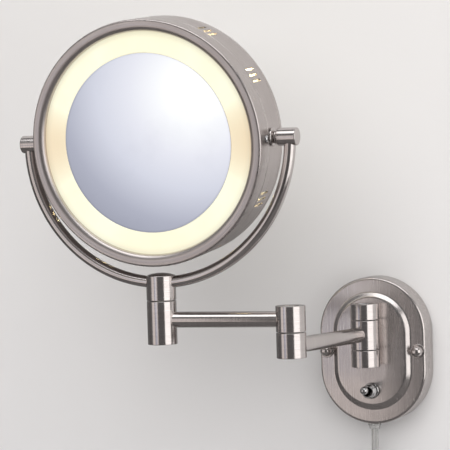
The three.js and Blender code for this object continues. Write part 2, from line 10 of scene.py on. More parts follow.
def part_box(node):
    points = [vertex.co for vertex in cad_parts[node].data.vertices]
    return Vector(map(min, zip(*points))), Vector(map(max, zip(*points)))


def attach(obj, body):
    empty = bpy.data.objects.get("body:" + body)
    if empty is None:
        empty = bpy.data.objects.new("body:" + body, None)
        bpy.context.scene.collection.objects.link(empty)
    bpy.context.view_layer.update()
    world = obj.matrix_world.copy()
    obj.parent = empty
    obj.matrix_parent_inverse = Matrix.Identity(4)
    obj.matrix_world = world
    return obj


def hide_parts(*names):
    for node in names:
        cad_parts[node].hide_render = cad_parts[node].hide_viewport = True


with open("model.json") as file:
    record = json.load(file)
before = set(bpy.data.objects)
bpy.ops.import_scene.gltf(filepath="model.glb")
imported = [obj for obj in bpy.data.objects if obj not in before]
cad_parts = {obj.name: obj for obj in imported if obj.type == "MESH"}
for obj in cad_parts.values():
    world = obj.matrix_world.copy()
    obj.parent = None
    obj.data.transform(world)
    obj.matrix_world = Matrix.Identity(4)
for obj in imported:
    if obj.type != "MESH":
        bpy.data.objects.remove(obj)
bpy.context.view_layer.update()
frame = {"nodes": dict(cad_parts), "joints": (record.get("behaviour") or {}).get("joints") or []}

mm = 0.001
joints = {joint["name"]: Vector(joint["pos_m"]) for joint in frame["joints"]}


camera = {
    "place": (0.56663, -1.73684, 0.17875),
    "yaw": 22.22,
    "pitch": -2.12,
    "roll": -1.66,
    "lens": 167.65,
}


def addObject(name, data):
    holder = bpy.data.objects.new(name, data)
    bpy.context.scene.collection.objects.link(holder)
    return holder


def makeCamera():
    yaw, pitch, roll = (radians(camera[key]) for key in ("yaw", "pitch", "roll"))
    forward = Vector((-sin(yaw) * cos(pitch), cos(yaw) * cos(pitch), sin(pitch)))
    right = Vector((cos(yaw), sin(yaw), 0))
    up = right.cross(forward)
    across = right * cos(roll) + up * sin(roll)
    above = up * cos(roll) - right * sin(roll)
    data = bpy.data.cameras.new("camera")
    data.lens = camera["lens"]
    data.clip_start = 0.05
    data.clip_end = 50
    holder = addObject("camera", data)
    turn = Matrix((across, above, -forward)).transposed()
    holder.matrix_world = Matrix.Translation(camera["place"]) @ turn.to_4x4()
    bpy.context.scene.camera = holder


makeCamera()
print("camera is set")


def addNode(tree, kind, inputs=None, **settings):
    node = tree.nodes.new("ShaderNode" + kind)
    for key, value in settings.items():
        setattr(node, key, value)
    for key, value in (inputs or {}).items():
        if isinstance(value, bpy.types.NodeSocket):
            tree.links.new(value, node.inputs[key])
        else:
            node.inputs[key].default_value = value
    return node


def newMaterial(name, **values):
    material = bpy.data.materials.new(name)
    material.use_nodes = True
    tree = material.node_tree
    shader = tree.nodes["Principled BSDF"]
    for key, value in values.items():
        shader.inputs[key.replace("_", " ")].default_value = value
    return material, tree, shader


def noise(tree, where, scale, detail=2.0, stretch=None):
    if stretch:
        where = addNode(tree, "Mapping", {"Vector": where, "Scale": stretch}).outputs[0]
    wanted = {"Vector": where, "Scale": scale, "Detail": detail}
    return addNode(tree, "TexNoise", wanted).outputs[0]


def remap(tree, value, low, high, toLow=0, toHigh=1):
    wanted = {"Value": value, "From Min": low, "From Max": high, "To Min": toLow, "To Max": toHigh}
    return addNode(tree, "MapRange", wanted).outputs[0]


def combine(tree, operation, first, second):
    return addNode(tree, "Math", {0: first, 1: second}, operation=operation).outputs[0]


def mixed(tree, factor, first, second):
    return addNode(tree, "Mix", {0: factor, 6: first, 7: second}, data_type="RGBA").outputs[2]


def objectPlace(tree):
    return addNode(tree, "TexCoord").outputs["Object"]


def readAttribute(tree, name, output):
    return addNode(tree, "Attribute", attribute_name=name).outputs[output]


def feed(tree, shader, **sockets):
    for key, value in sockets.items():
        tree.links.new(value, shader.inputs[key.replace("_", " ")])


def bump(tree, shader, height, strength, distance):
    wanted = {"Height": height, "Strength": strength, "Distance": distance}
    feed(tree, shader, Normal=addNode(tree, "Bump", wanted).outputs[0])


# Brushed metal: fine scratches along the grain, wider streaks, faint handling marks, and bright worn edges.
def brushedMetal(name, dark, light, rough, grainDepth, stretch=(40, 40, 4200)):
    material, tree, shader = newMaterial(name, Metallic=1.0, Anisotropic=0.35)
    place = objectPlace(tree)
    along = readAttribute(tree, "grain", "Vector")
    fine = noise(tree, along, 1.0, 3, stretch)
    wide = noise(tree, along, 1.0, 2, tuple(size * 0.22 for size in stretch))
    marks = noise(tree, place, 26.0, 4)
    wear = remap(tree, noise(tree, place, 160.0, 3), 0.4, 0.62, 0.15, 1.0)
    worn = combine(tree, "MULTIPLY", readAttribute(tree, "edge", "Fac"), wear)
    grain = combine(tree, "ADD", combine(tree, "MULTIPLY", fine, 0.65), combine(tree, "MULTIPLY", wide, 0.35))
    colour = mixed(tree, remap(tree, grain, 0.32, 0.68), dark, light)
    handled = remap(tree, marks, 0.35, 0.7, 0.0, 0.22)
    colour = mixed(tree, handled, colour, (dark[0] * 0.82, dark[1] * 0.8, dark[2] * 0.8, 1))
    colour = mixed(tree, combine(tree, "MULTIPLY", worn, 0.15), colour, (0.74, 0.70, 0.685, 1))
    roughness = remap(tree, grain, 0.3, 0.7, rough * 0.85, rough * 1.15)
    roughness = combine(tree, "ADD", roughness, remap(tree, marks, 0.35, 0.7, -0.01, 0.03))
    roughness = combine(tree, "SUBTRACT", roughness, combine(tree, "MULTIPLY", worn, rough * 0.15))
    feed(tree, shader, Base_Color=colour, Roughness=roughness)
    bump(tree, shader, grain, 0.25, grainDepth)
    return material


def polishedMetal(name, colour, rough):
    material, tree, shader = newMaterial(name, Metallic=1.0)
    place = objectPlace(tree)
    marks = noise(tree, place, 90.0, 4)
    dull = tuple(part * 0.86 for part in colour[:3]) + (1,)
    feed(tree, shader, Base_Color=mixed(tree, remap(tree, marks, 0.4, 0.7), colour, dull),
         Roughness=remap(tree, marks, 0.35, 0.7, rough * 0.7, rough * 1.8))
    bump(tree, shader, noise(tree, place, 900.0, 2), 0.06, 0.00002)
    return material


# Zinc-plated steel: soft crystal patches with a slight blue and yellow cast.
def platedSteel(name):
    material, tree, shader = newMaterial(name, Metallic=1.0)
    place = objectPlace(tree)
    voronoi = addNode(tree, "TexVoronoi", {"Vector": place, "Scale": 420.0}, feature="SMOOTH_F1")
    patches = voronoi.outputs["Distance"]
    cast = remap(tree, noise(tree, place, 60.0, 3), 0.4, 0.65)
    colour = mixed(tree, cast, (0.50, 0.53, 0.56, 1), (0.60, 0.57, 0.48, 1))
    colour = mixed(tree, remap(tree, patches, 0.0, 0.6, 0.0, 0.5), colour, (0.36, 0.38, 0.40, 1))
    feed(tree, shader, Base_Color=colour, Roughness=remap(tree, patches, 0.0, 0.6, 0.32, 0.52))
    bump(tree, shader, patches, 0.2, 0.00005)
    return material


def moulded(name, colour, shade, rough, grainScale, depth):
    material, tree, shader = newMaterial(name)
    place = objectPlace(tree)
    cloud = remap(tree, noise(tree, place, 45.0, 3), 0.35, 0.7)
    grain = noise(tree, place, grainScale, 3)
    feed(tree, shader, Base_Color=mixed(tree, cloud, colour, shade),
         Roughness=remap(tree, grain, 0.3, 0.7, rough * 0.85, rough * 1.15))
    bump(tree, shader, grain, 0.25, depth)
    return material


def mirrorSilver():
    material, tree, shader = newMaterial("mirror silver", Metallic=1.0)
    smudge = remap(tree, noise(tree, objectPlace(tree), 24.0, 5), 0.52, 0.75)
    feed(tree, shader, Base_Color=mixed(tree, smudge, (0.93, 0.94, 0.955, 1), (0.89, 0.90, 0.92, 1)),
         Roughness=remap(tree, smudge, 0.0, 1.0, 0.012, 0.045))
    return material


halo = {
    "cream": (1.0, 0.925, 0.60, 1),
    "peach": (1.0, 0.72, 0.40, 1),
    "white": (1.0, 0.99, 0.76, 1),
    "strength": 0.74,
    "sideStrength": 0.56,
}


# The glow is whitest in front of the lamps, and turns to peach halfway between them at the sides.
def glowingDiffuser():
    material, tree, shader = newMaterial("halo diffuser", Roughness=0.42)
    place = objectPlace(tree)
    split = addNode(tree, "SeparateXYZ", {0: place})
    across = combine(tree, "ABSOLUTE", split.outputs["X"], 0.0)
    upright = combine(tree, "ABSOLUTE", split.outputs["Z"], 0.0)
    radius = addNode(tree, "VectorMath", {0: place}, operation="LENGTH").outputs["Value"]
    nearSides = remap(tree, combine(tree, "DIVIDE", across, radius), 0.90, 1.0)
    nearEnds = remap(tree, combine(tree, "DIVIDE", upright, radius), 0.86, 1.0, 0.0, 0.55)
    cloud = remap(tree, noise(tree, place, 30.0, 3), 0.3, 0.7, 0.0, 0.35)
    glow = mixed(tree, cloud, halo["white"], halo["cream"])
    glow = mixed(tree, nearEnds, glow, halo["cream"])
    glow = mixed(tree, nearSides, glow, halo["peach"])
    strength = remap(tree, nearSides, 0.0, 1.0, halo["strength"], halo["sideStrength"])
    edgeFade = remap(tree, radius, 0.0885, 0.0975, 1.0, 0.72)
    feed(tree, shader, Emission_Color=glow, Emission_Strength=combine(tree, "MULTIPLY", strength, edgeFade),
         Base_Color=mixed(tree, cloud, (0.30, 0.29, 0.25, 1), (0.25, 0.235, 0.20, 1)))
    bump(tree, shader, noise(tree, place, 2600.0, 2), 0.15, 0.00003)
    return material


def glowingLamp():
    material, tree, shader = newMaterial("lamp glass", Roughness=0.2)
    cloud = noise(tree, objectPlace(tree), 120.0, 2)
    feed(tree, shader, Emission_Color=mixed(tree, cloud, (1.0, 0.80, 0.44, 1), (1.0, 0.90, 0.60, 1)),
         Emission_Strength=remap(tree, cloud, 0.3, 0.7, 110.0, 150.0))
    return material


def clearJacket():
    material, tree, shader = newMaterial("clear jacket", IOR=1.5, Transmission_Weight=0.82)
    haze = noise(tree, objectPlace(tree), 240.0, 3)
    cloud = remap(tree, haze, 0.35, 0.7)
    feed(tree, shader, Base_Color=mixed(tree, cloud, (0.97, 0.97, 0.96, 1), (0.91, 0.915, 0.91, 1)),
         Roughness=remap(tree, haze, 0.3, 0.7, 0.08, 0.24))
    bump(tree, shader, haze, 0.1, 0.0001)
    return material


# Fine tinned strands, twisted together.
def strandedWire():
    material, tree, shader = newMaterial("stranded wire", Metallic=1.0)
    place = readAttribute(tree, "grain", "Vector")
    turned = addNode(tree, "Mapping", {"Vector": place, "Rotation": (0, 0, 0.6)}).outputs[0]
    strands = addNode(tree, "TexWave", {"Vector": turned, "Scale": 900.0, "Distortion": 0.6}).outputs["Fac"]
    feed(tree, shader, Base_Color=mixed(tree, strands, (0.62, 0.60, 0.58, 1), (0.90, 0.885, 0.87, 1)),
         Roughness=remap(tree, strands, 0.0, 1.0, 0.45, 0.28))
    bump(tree, shader, strands, 0.5, 0.0002)
    return material


satin = brushedMetal("satin nickel", (0.50, 0.455, 0.44, 1), (0.64, 0.595, 0.58, 1), 0.30, 0.00006)
bright = brushedMetal("bright nickel", (0.54, 0.50, 0.485, 1), (0.68, 0.64, 0.625, 1), 0.15, 0.00003)
plateSatin = brushedMetal("plate nickel", (0.54, 0.50, 0.485, 1), (0.68, 0.635, 0.62, 1), 0.25, 0.00005,
                          (45, 900, 3600))
chrome = polishedMetal("chrome", (0.56, 0.555, 0.56, 1), 0.09)
bladeMetal = polishedMetal("plated brass", (0.74, 0.70, 0.62, 1), 0.22)
zinc = platedSteel("zinc steel")
silver = mirrorSilver()
haloGlow = glowingDiffuser()
lampGlow = glowingLamp()
ceramic = moulded("lamp ceramic", (0.80, 0.76, 0.68, 1), (0.70, 0.66, 0.58, 1), 0.7, 1500.0, 0.0001)
enamel = moulded("white enamel", (0.86, 0.85, 0.81, 1), (0.78, 0.76, 0.71, 1), 0.4, 500.0, 0.00008)
nylon = moulded("nylon", (0.80, 0.78, 0.72, 1), (0.72, 0.70, 0.64, 1), 0.5, 1800.0, 0.00003)
blackPlastic = moulded("black plastic", (0.018, 0.018, 0.02, 1), (0.03, 0.03, 0.032, 1), 0.48, 2200.0,
                       0.00006)
jacket = clearJacket()
wire = strandedWire()

print("materials are mixed")


def spot(point):
    return Vector(point) * mm


# Cuts each corner of an outline back by size and puts a small curve there. A point may hold its own size.
def roundedOutline(points, size, steps=3, isClosed=True):
    count = len(points)
    outline, onEdge = [], []
    for index, point in enumerate(points):
        corner = np.array(point[:2], float)
        own = point[2] if len(point) > 2 else size
        if own <= 0 or (not isClosed and index in (0, count - 1)):
            outline.append(corner)
            onEdge.append(0.0)
            continue
        before = np.array(points[index - 1][:2], float) - corner
        after = np.array(points[(index + 1) % count][:2], float) - corner
        reach = min(own, 0.45 * np.linalg.norm(before), 0.45 * np.linalg.norm(after))
        first = corner + before / np.linalg.norm(before) * reach
        last = corner + after / np.linalg.norm(after) * reach
        for step in range(steps + 1):
            t = step / steps
            outline.append((1 - t) ** 2 * first + 2 * t * (1 - t) * corner + t * t * last)
            onEdge.append(1.0 if 0 < step < steps else 0.35)
    return outline, onEdge


# nodes are the CAD nodes that the piece stands for.
def finishPiece(name, vertices, faces, body, material, nodes=(), grain=None, edge=None, place=None, sharp=38):
    mesh = bpy.data.meshes.new(name)
    mesh.from_pydata([tuple(vertex) for vertex in vertices], [], faces)
    layers = (("grain", "FLOAT_VECTOR", "vector", grain), ("edge", "FLOAT", "value", edge))
    for title, kind, field, values in layers:
        if values is not None:
            mesh.attributes.new(title, kind, "POINT").data.foreach_set(field, np.array(values, float).ravel())
    work = bmesh.new()
    work.from_mesh(mesh)
    bmesh.ops.recalc_face_normals(work, faces=work.faces)
    work.to_mesh(mesh)
    work.free()
    smoothFaces(mesh, sharp)
    piece = addObject(name, mesh)
    piece.data.materials.append(material)
    if place is not None:
        piece.matrix_world = place
    # wide faces keep their own direction, so that only the small curved edges look rounded
    weighted = piece.modifiers.new("face weighted shading", "WEIGHTED_NORMAL")
    weighted.keep_sharp = True
    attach(piece, body)
    if nodes:
        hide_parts(*nodes)
    return piece


def smoothFaces(mesh, sharp):
    mesh.polygons.foreach_set("use_smooth", [True] * len(mesh.polygons))
    mesh.set_sharp_from_angle(angle=radians(sharp))


def hangOn(child, parent):
    child.parent = parent
    child.matrix_parent_inverse = Matrix.Identity(4)


axisPoints = {
    "x": lambda radius, height, turn: (height, radius * cos(turn), radius * sin(turn)),
    "y": lambda radius, height, turn: (radius * cos(turn), height, radius * sin(turn)),
    "z": lambda radius, height, turn: (radius * cos(turn), radius * sin(turn), height),
}


# Turns an outline of (radius, height) points about an axis, as on a lathe. An outline that starts on the
# axis ends there too, and any other one is closed.
def turnedPiece(name, outline, body, material, axis, around, place=None, node=None, size=0.3, steps=3,
                sharp=38):
    isClosed = min(point[0] for point in outline) > 0
    points, onEdge = roundedOutline(outline, size, steps, isClosed)
    vertices, grain, edge, rings = [], [], [], []
    along = 0.0
    for index, (radius, height) in enumerate(points):
        if index:
            along += float(np.linalg.norm(points[index] - points[index - 1]))
        spins = 1 if radius < 1e-6 else around
        rings.append(range(len(vertices), len(vertices) + spins))
        for spin in range(spins):
            turn = 2 * pi * spin / around
            vertices.append(spot(axisPoints[axis](radius, height, turn)))
            grain.append((radius * mm * cos(turn), radius * mm * sin(turn), along * mm))
            edge.append(onEdge[index])
    faces = []
    pairs = list(zip(rings, rings[1:]))
    if isClosed:
        pairs.append((rings[-1], rings[0]))
    for low, high in pairs:
        if len(low) == 1 and len(high) == 1:
            continue
        for spin in range(around):
            after = (spin + 1) % around
            corners = [low[spin % len(low)], low[after % len(low)]]
            corners += [high[after % len(high)], high[spin % len(high)]]
            faces.append(list(dict.fromkeys(corners)))
    nodes = (node,) if node else ()
    return finishPiece(name, vertices, faces, body, material, nodes, grain, edge, place, sharp)


# Sweeps an outline of (side, lift) points along centres. sides and lifts are its directions at each one.
def sweptPiece(name, centres, sides, lifts, outline, body, material, nodes=(), isLoop=False):
    vertices, grain = [], []
    along = 0.0
    for index, centre in enumerate(centres):
        if index:
            along += (centre - centres[index - 1]).length
        travelled = 0.0
        for number, (side, lift) in enumerate(outline):
            if number:
                travelled += dist(outline[number], outline[number - 1])
            vertices.append(centre + sides[index] * side * mm + lifts[index] * lift * mm)
            grain.append((along, travelled * mm, 0.0))
    count, rings = len(outline), len(centres)
    faces = []
    for index in range(rings if isLoop else rings - 1):
        low, high = index * count, (index + 1) % rings * count
        for number in range(count):
            after = (number + 1) % count
            faces.append([low + number, low + after, high + after, high + number])
    if not isLoop:
        faces.append(list(range(count))[::-1])
        faces.append(list(range((rings - 1) * count, rings * count)))
    return finishPiece(name, vertices, faces, body, material, nodes, grain, sharp=50)


def circle(radius, count):
    return [(radius * cos(2 * pi * n / count), radius * sin(2 * pi * n / count))
            for n in range(count)]


def middleHeight(node):
    low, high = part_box(node)
    return (low.z + high.z) / 2


def smoothStep(value):
    value = min(max(value, 0.0), 1.0)
    return value * value * (3 - 2 * value)


cord = {
    "length": 1.8,
    "width": 6.0,
    "thickness": 3.1,
    "wireRadius": 0.95,
    "wireSpacing": 1.48,
    "straightDown": [(-2, -15, -68.4), (-2, -15, -72), (-2, -15, -77), (-2, -15.2, -81), (-2, -15.6, -85)],
    "bendRadius": 31.3,
    "bendTo": 60,
    "coilCentre": (-6.5, -15, -147),
    "coilRadius": 34.3,
    "spacing": 6.0,
    "acrossSpacing": 6.2,
    "swapOver": 60,
    "pointsPerTurn": 48,
    "tailEnd": -169.4,
    "tailDepth": -11,
    "twistFrom": 20,
    "twistTo": 95,
}

# Each turn's place in the bundle, as steps outwards and steps towards the wall.
turnPlaces = [(1, -1), (0, -1), (-1, -1), (-1, 0), (-1, 1), (0, 1), (0, 0), (1, 0), (1, 1)]


def coilPoint(degrees, outwards, towardsWall):
    radius = cord["coilRadius"] + outwards * cord["spacing"]
    turn = radians(degrees)
    centre = cord["coilCentre"]
    depth = centre[1] + towardsWall * cord["acrossSpacing"]
    return (centre[0] + radius * cos(turn), depth, centre[2] + radius * sin(turn))


def cordRoute():
    points = [tuple(point) for point in cord["straightDown"]]
    startX, startY, startZ = points[-1]
    endDepth = cord["coilCentre"][1] - cord["acrossSpacing"]
    bendSteps = 12
    for step in range(1, bendSteps):
        share = step / bendSteps
        turn = radians(cord["bendTo"] * share)
        depth = startY + (endDepth - startY) * smoothStep(0.1 + 0.9 * share)
        bend = cord["bendRadius"]
        points.append((startX + bend * (1 - cos(turn)), depth, startZ - bend * sin(turn)))
    steps = cord["pointsPerTurn"]
    swap = cord["swapOver"] / 360
    for number, here in enumerate(turnPlaces[:-1]):
        there = turnPlaces[number + 1]
        for step in range(steps):
            share = step / steps
            blend = smoothStep((share - (1 - swap)) / swap)
            outwards = here[0] + (there[0] - here[0]) * blend
            towardsWall = here[1] + (there[1] - here[1]) * blend
            points.append(coilPoint(cord["bendTo"] - 360 * share, outwards, towardsWall))
    lastSteps = 8
    for step in range(lastSteps + 1):
        points.append(coilPoint(cord["bendTo"] * (1 - step / lastSteps), *turnPlaces[-1]))
    lastX, lastY, lastZ = points[-1]
    tailSteps = 6
    for step in range(1, tailSteps + 1):
        share = step / tailSteps
        depth = lastY + (cord["tailDepth"] - lastY) * smoothStep(share)
        points.append((lastX, depth, lastZ + (cord["tailEnd"] - lastZ) * share))
    return [spot(point) for point in points]


def twinOutline():
    lobe = cord["thickness"] / 2
    offset = cord["width"] / 2 - lobe
    outline = []
    for side in (1, -1):
        for degrees in range(-105, 106, 15):
            turn = radians(degrees if side > 0 else degrees + 180)
            outline.append((side * offset + lobe * cos(turn), lobe * sin(turn) * 0.98))
    return outline


# The cord leaves flat to the wall, and twists a quarter turn so that it winds the easy way.
def makeCord():
    route = cordRoute()
    sides, lifts = [], []
    travelled = 0.0
    for index, point in enumerate(route):
        before = route[max(index - 1, 0)]
        after = route[min(index + 1, len(route) - 1)]
        if index:
            travelled += (point - before).length / mm
        heading = (after - before).normalized()
        towardsWall = Vector((0, 1, 0))
        towardsWall = (towardsWall - heading * towardsWall.dot(heading)).normalized()
        flat = heading.cross(towardsWall)
        share = smoothStep((travelled - cord["twistFrom"]) / (cord["twistTo"] - cord["twistFrom"]))
        turn = share * pi / 2
        sides.append(flat * cos(turn) + towardsWall * sin(turn))
        lifts.append(heading.cross(sides[-1]).normalized())
    nodes = ("power_cord", "cord_coil")
    flex = sweptPiece("clearTwinCord", route, sides, lifts, twinOutline(), "wall", jacket, nodes)
    for number, offset in enumerate((cord["wireSpacing"], -cord["wireSpacing"])):
        core = [point + sides[index] * offset * mm for index, point in enumerate(route)]
        section = circle(cord["wireRadius"], 10)
        hangOn(sweptPiece(f"cordWire{number + 1}", core, sides, lifts, section, "wall", wire), flex)
    return flex, route


plug = {
    "width": 24,
    "depth": 15,
    "length": 28,
    "reliefLength": 13,
    "reliefRibs": 6,
    "gripRibs": 5,
    "gripPitch": 2.6,
    "bladeSpacing": 6.35,
    "bladeWidth": 6.3,
    "bladeThickness": 1.5,
    "bladeLength": 17,
    "bladeHole": 1.5,
}


def roundedRectangle(halfWidth, halfDepth, corner, perCorner=7):
    outline = []
    corner = min(corner, halfWidth * 0.98, halfDepth * 0.98)
    for signX, signY, start in ((1, 1, 0), (-1, 1, 90), (-1, -1, 180), (1, -1, 270)):
        for step in range(perCorner + 1):
            turn = radians(start + 90 * step / perCorner)
            outline.append((signX * (halfWidth - corner) + corner * cos(turn),
                            signY * (halfDepth - corner) + corner * sin(turn)))
    return outline


# The plug's body is one moulding: a tapering relief, ribs for the fingers, then a full square face.
# Each section is (drop, half width, half depth, corner).
def makePlug():
    low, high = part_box("plug")
    middle = (low + high) / 2 / mm
    top = high.z / mm
    relief = plug["reliefLength"]
    sections = [(0.0, 3.15, 2.0, 1.9), (0.4, 3.4, 2.3, 2.2)]
    for number in range(plug["reliefRibs"]):
        share = number / (plug["reliefRibs"] - 1)
        drop = 1.6 + share * (relief - 3)
        wide = 3.4 + 1.6 * share
        deep = wide * 0.78
        sections += [(drop, wide, deep, 3.0), (drop + 0.7, wide, deep, 3.0),
                     (drop + 0.9, wide - 0.55, deep - 0.45, 2.6)]
    sections += [(relief - 0.4, 5.2, 4.2, 3.4), (relief + 1.2, 6.6, 4.8, 3.8)]
    for number in range(plug["gripRibs"]):
        share = number / (plug["gripRibs"] - 1)
        drop = relief + 3.0 + number * plug["gripPitch"]
        wide, deep = 7.6 + 2.6 * share, 5.2 + 1.2 * share
        sections += [(drop, wide, deep, 4.2), (drop + 1.2, wide + 0.35, deep, 4.2),
                     (drop + 1.5, wide - 0.45, deep - 0.1, 4.0), (drop + 2.2, wide - 0.4, deep - 0.1, 4.0)]
    wide, deep = plug["width"] / 2, plug["depth"] / 2
    sections.append((relief + 17.5, wide - 0.8, deep - 0.6, 4.2))
    for drop, cut, corner in ((19.5, 0, 4.0), (27.2, 0, 3.2), (27.8, 0.25, 3.0), (28, 0.8, 2.6)):
        sections.append((relief + drop, wide - cut, deep - cut, corner))
    vertices, grain = [], []
    for drop, wide, deep, corner in sections:
        for x, y in roundedRectangle(wide, deep, corner):
            vertices.append(spot((middle.x + x, middle.y + y, top - drop)))
            grain.append((x * mm, y * mm, drop * mm))
    count = len(vertices) // len(sections)
    faces = [list(range(count)), list(range(len(vertices) - count, len(vertices)))[::-1]]
    for first in range(0, len(vertices) - count, count):
        for number in range(count):
            after = first + (number + 1) % count
            faces.append([first + number, after, after + count, first + number + count])
    body = finishPiece("plugBody", vertices, faces, "wall", jacket, ("plug",), grain, sharp=42)
    for side, word in ((-1, "Left"), (1, "Right")):
        blade = makeBlade("plugBlade" + word)
        bladeX = middle.x + side * plug["bladeSpacing"]
        blade.matrix_world = Matrix.Translation(spot((bladeX, middle.y, top - relief - plug["length"])))
        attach(blade, "wall")
        hangOn(blade, body)
    return body


# A flat blade with a rounded, pierced end, drawn as a filled outline and given its thickness.
def makeBlade(name):
    half = plug["bladeWidth"] / 2
    length = plug["bladeLength"]
    drawing = bpy.data.curves.new(name, "CURVE")
    drawing.dimensions = "2D"
    drawing.fill_mode = "BOTH"
    drawing.extrude = (plug["bladeThickness"] / 2 - 0.2) * mm
    drawing.bevel_depth = 0.2 * mm
    drawing.bevel_resolution = 2
    edgeLine = [(-half, 3), (half, 3), (half, 1.8 - length), (half - 1.6, 0.2 - length),
                (1.6 - half, 0.2 - length), (-half, 1.8 - length)]
    hole = [(x, y - length + 4.6) for x, y in circle(plug["bladeHole"], 20)]
    for line in (edgeLine, hole):
        spline = drawing.splines.new("POLY")
        spline.points.add(len(line) - 1)
        for point, (x, y) in zip(spline.points, line):
            point.co = (x * mm, y * mm, 0, 1)
        spline.use_cyclic_u = True
    holder = bpy.data.objects.new(name + "Drawing", drawing)
    mesh = bpy.data.meshes.new_from_object(holder)
    mesh.name = name
    # stands the drawing on edge: its width runs towards the wall and its thickness across
    mesh.transform(Matrix(((0, 0, 1, 0), (1, 0, 0, 0), (0, 1, 0, 0), (0, 0, 0, 1))))
    bpy.data.objects.remove(holder)
    bpy.data.curves.remove(drawing)
    smoothFaces(mesh, 40)
    mesh.materials.clear()
    mesh.materials.append(bladeMetal)
    return addObject(name, mesh)


tie = {"thickness": 1.3, "height": 5.0, "tailRadius": 0.7, "tailDrop": 7.15, "tailReach": 3.4}


# A plastic-covered wire tie: a rounded band round the turns, its ends twisted together and left standing.
def makeTie():
    low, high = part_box("cord_tie")
    middle = (low + high) / 2 / mm
    halfWidth = (high.x - low.x) / 2 / mm - tie["thickness"] / 2
    halfDepth = (high.y - low.y) / 2 / mm - tie["thickness"] / 2
    outline = roundedRectangle(halfWidth, halfDepth, 3.0, 8)
    centres = [spot((middle.x + x, middle.y + y, middle.z)) for x, y in outline]
    section = roundedRectangle(tie["thickness"] / 2, tie["height"] / 2, 0.6, 4)
    upwards = Vector((0, 0, 1))
    sides = []
    for index in range(len(centres)):
        heading = (centres[(index + 1) % len(centres)] - centres[index - 1]).normalized()
        sides.append(heading.cross(upwards))
    lifts = [upwards] * len(centres)
    band = sweptPiece("tieBand", centres, sides, lifts, section, "wall", blackPlastic, ("cord_tie",), True)
    for number, phase in enumerate((0.0, pi)):
        tail = []
        for step in range(25):
            share = step / 24
            turn = phase + share * 5 * pi
            spread = 0.75 + 1.4 * smoothStep((share - 0.8) / 0.2)
            x = middle.x + spread * cos(turn) - halfWidth * 0.3
            y = middle.y - halfDepth - 0.7 - tie["tailReach"] * sin(share * 1.4)
            z = middle.z + spread * sin(turn) * 0.8 + 1.0 - share * tie["tailDrop"]
            tail.append(spot((x, y, z)))
        across = [Vector((1, 0, 0))] * len(tail)
        lifted = [Vector((0, 1, 0))] * len(tail)
        section = circle(tie["tailRadius"], 10)
        hangOn(sweptPiece(f"tieTail{number + 1}", tail, across, lifted, section, "wall", blackPlastic), band)
    return band


grommet = {"collarLength": 4.6, "collarRadius": 5.8, "endRadius": 4.5, "bore": 3.05, "flatness": 0.72}


def makeGrommet():
    low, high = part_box("cord_grommet")
    outside = (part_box("wall_plate")[0].z / mm) - 0.3
    lowEnd, bore = outside - grommet["collarLength"], grommet["bore"]
    end, collar = grommet["endRadius"], grommet["collarRadius"]
    outline = [(bore, lowEnd), (end, lowEnd), (end + 0.5, outside - 2.6), (end + 0.5, outside - 2.0),
               (collar, outside - 1.2), (collar, outside), (4.3, outside), (4.3, outside + 3.2),
               (5.4, outside + 3.2), (5.4, outside + 5), (3.8, outside + 19), (bore, outside + 19)]
    piece = turnedPiece("cordGrommet", outline, "wall", jacket, "z", 64, None, "cord_grommet", 0.7)
    piece.data.transform(Matrix.Diagonal((1, grommet["flatness"], 1, 1)))
    piece.data.transform(Matrix.Translation(((low.x + high.x) / 2, (low.y + high.y) / 2, 0)))


flexPiece, flexRoute = makeCord()
plugPiece = makePlug()
tiePiece = makeTie()
makeGrommet()
tuple(flexRoute[0])
[tuple(point) for point in flexRoute]
print("cord is wound")


head = {
    "tilt": 6,
    "radius": 101.5,
    "halfDepth": 25.5,
    "skin": 1.6,
    "lip": 91.5,
    "lipDepth": 20.9,
    "rollFrom": 97.4,
    "rollRadius": 7,
    "edgeSize": 2.2,
    "frontSeam": -7,
    "rearSeam": 19.8,
    "spigotRadii": (97.6, 99.6),
    "around": 192,
}
headPlace = Matrix.Translation(joints["head_tilt"]) @ Matrix.Rotation(radians(head["tilt"]), 4, "X")


def bezelOutline(bandEnd):
    front = -head["halfDepth"]
    radius, lip, flat, roll = head["radius"], head["lip"], head["rollFrom"], head["rollRadius"]
    inside = radius - head["skin"]
    # the face rolls back towards the lip
    rolled = []
    for degrees in (50, 42, 34, 26, 18, 10, 4):
        turn = radians(degrees)
        rolled.append((flat - roll * sin(turn), front + roll * (1 - cos(turn)), 0))
    return [
        (lip, -head["lipDepth"], 0.3), *rolled, (radius, front, head["edgeSize"]),
        (radius, bandEnd, 0.35), (inside, bandEnd, 0.1), (inside, front + 1.8, 0.1), (flat, front + 1.8, 0.1),
        (lip + 1.9, 0.6 - head["lipDepth"], 0.1), (lip, 0.6 - head["lipDepth"], 0.1),
    ]


def mirroredOutline(outline):
    return [(radius, -height, *size) for radius, height, *size in outline][::-1]


# The front and rear rims differ only in how far their bands reach, to half a millimetre from each seam.
def makeBezels():
    around = head["around"]
    front = bezelOutline(head["frontSeam"] - 0.5)
    rear = mirroredOutline(bezelOutline(-head["rearSeam"] - 0.5))
    turnedPiece("frontBezel", front, "head", satin, "y", around, headPlace, "front_bezel", steps=4)
    turnedPiece("rearBezel", rear, "head", satin, "y", around, headPlace, "rear_bezel", steps=4)


vents = {
    "centres": [30, 60, 120, 150, 210, 240, 300, 330],
    "perGroup": (-1, 0, 1),
    "pitch": 3.1,
    "width": 2.2,
    "length": 17,
    "middle": 3,
    "wall": 1.9,
    "softening": 0.25,
}


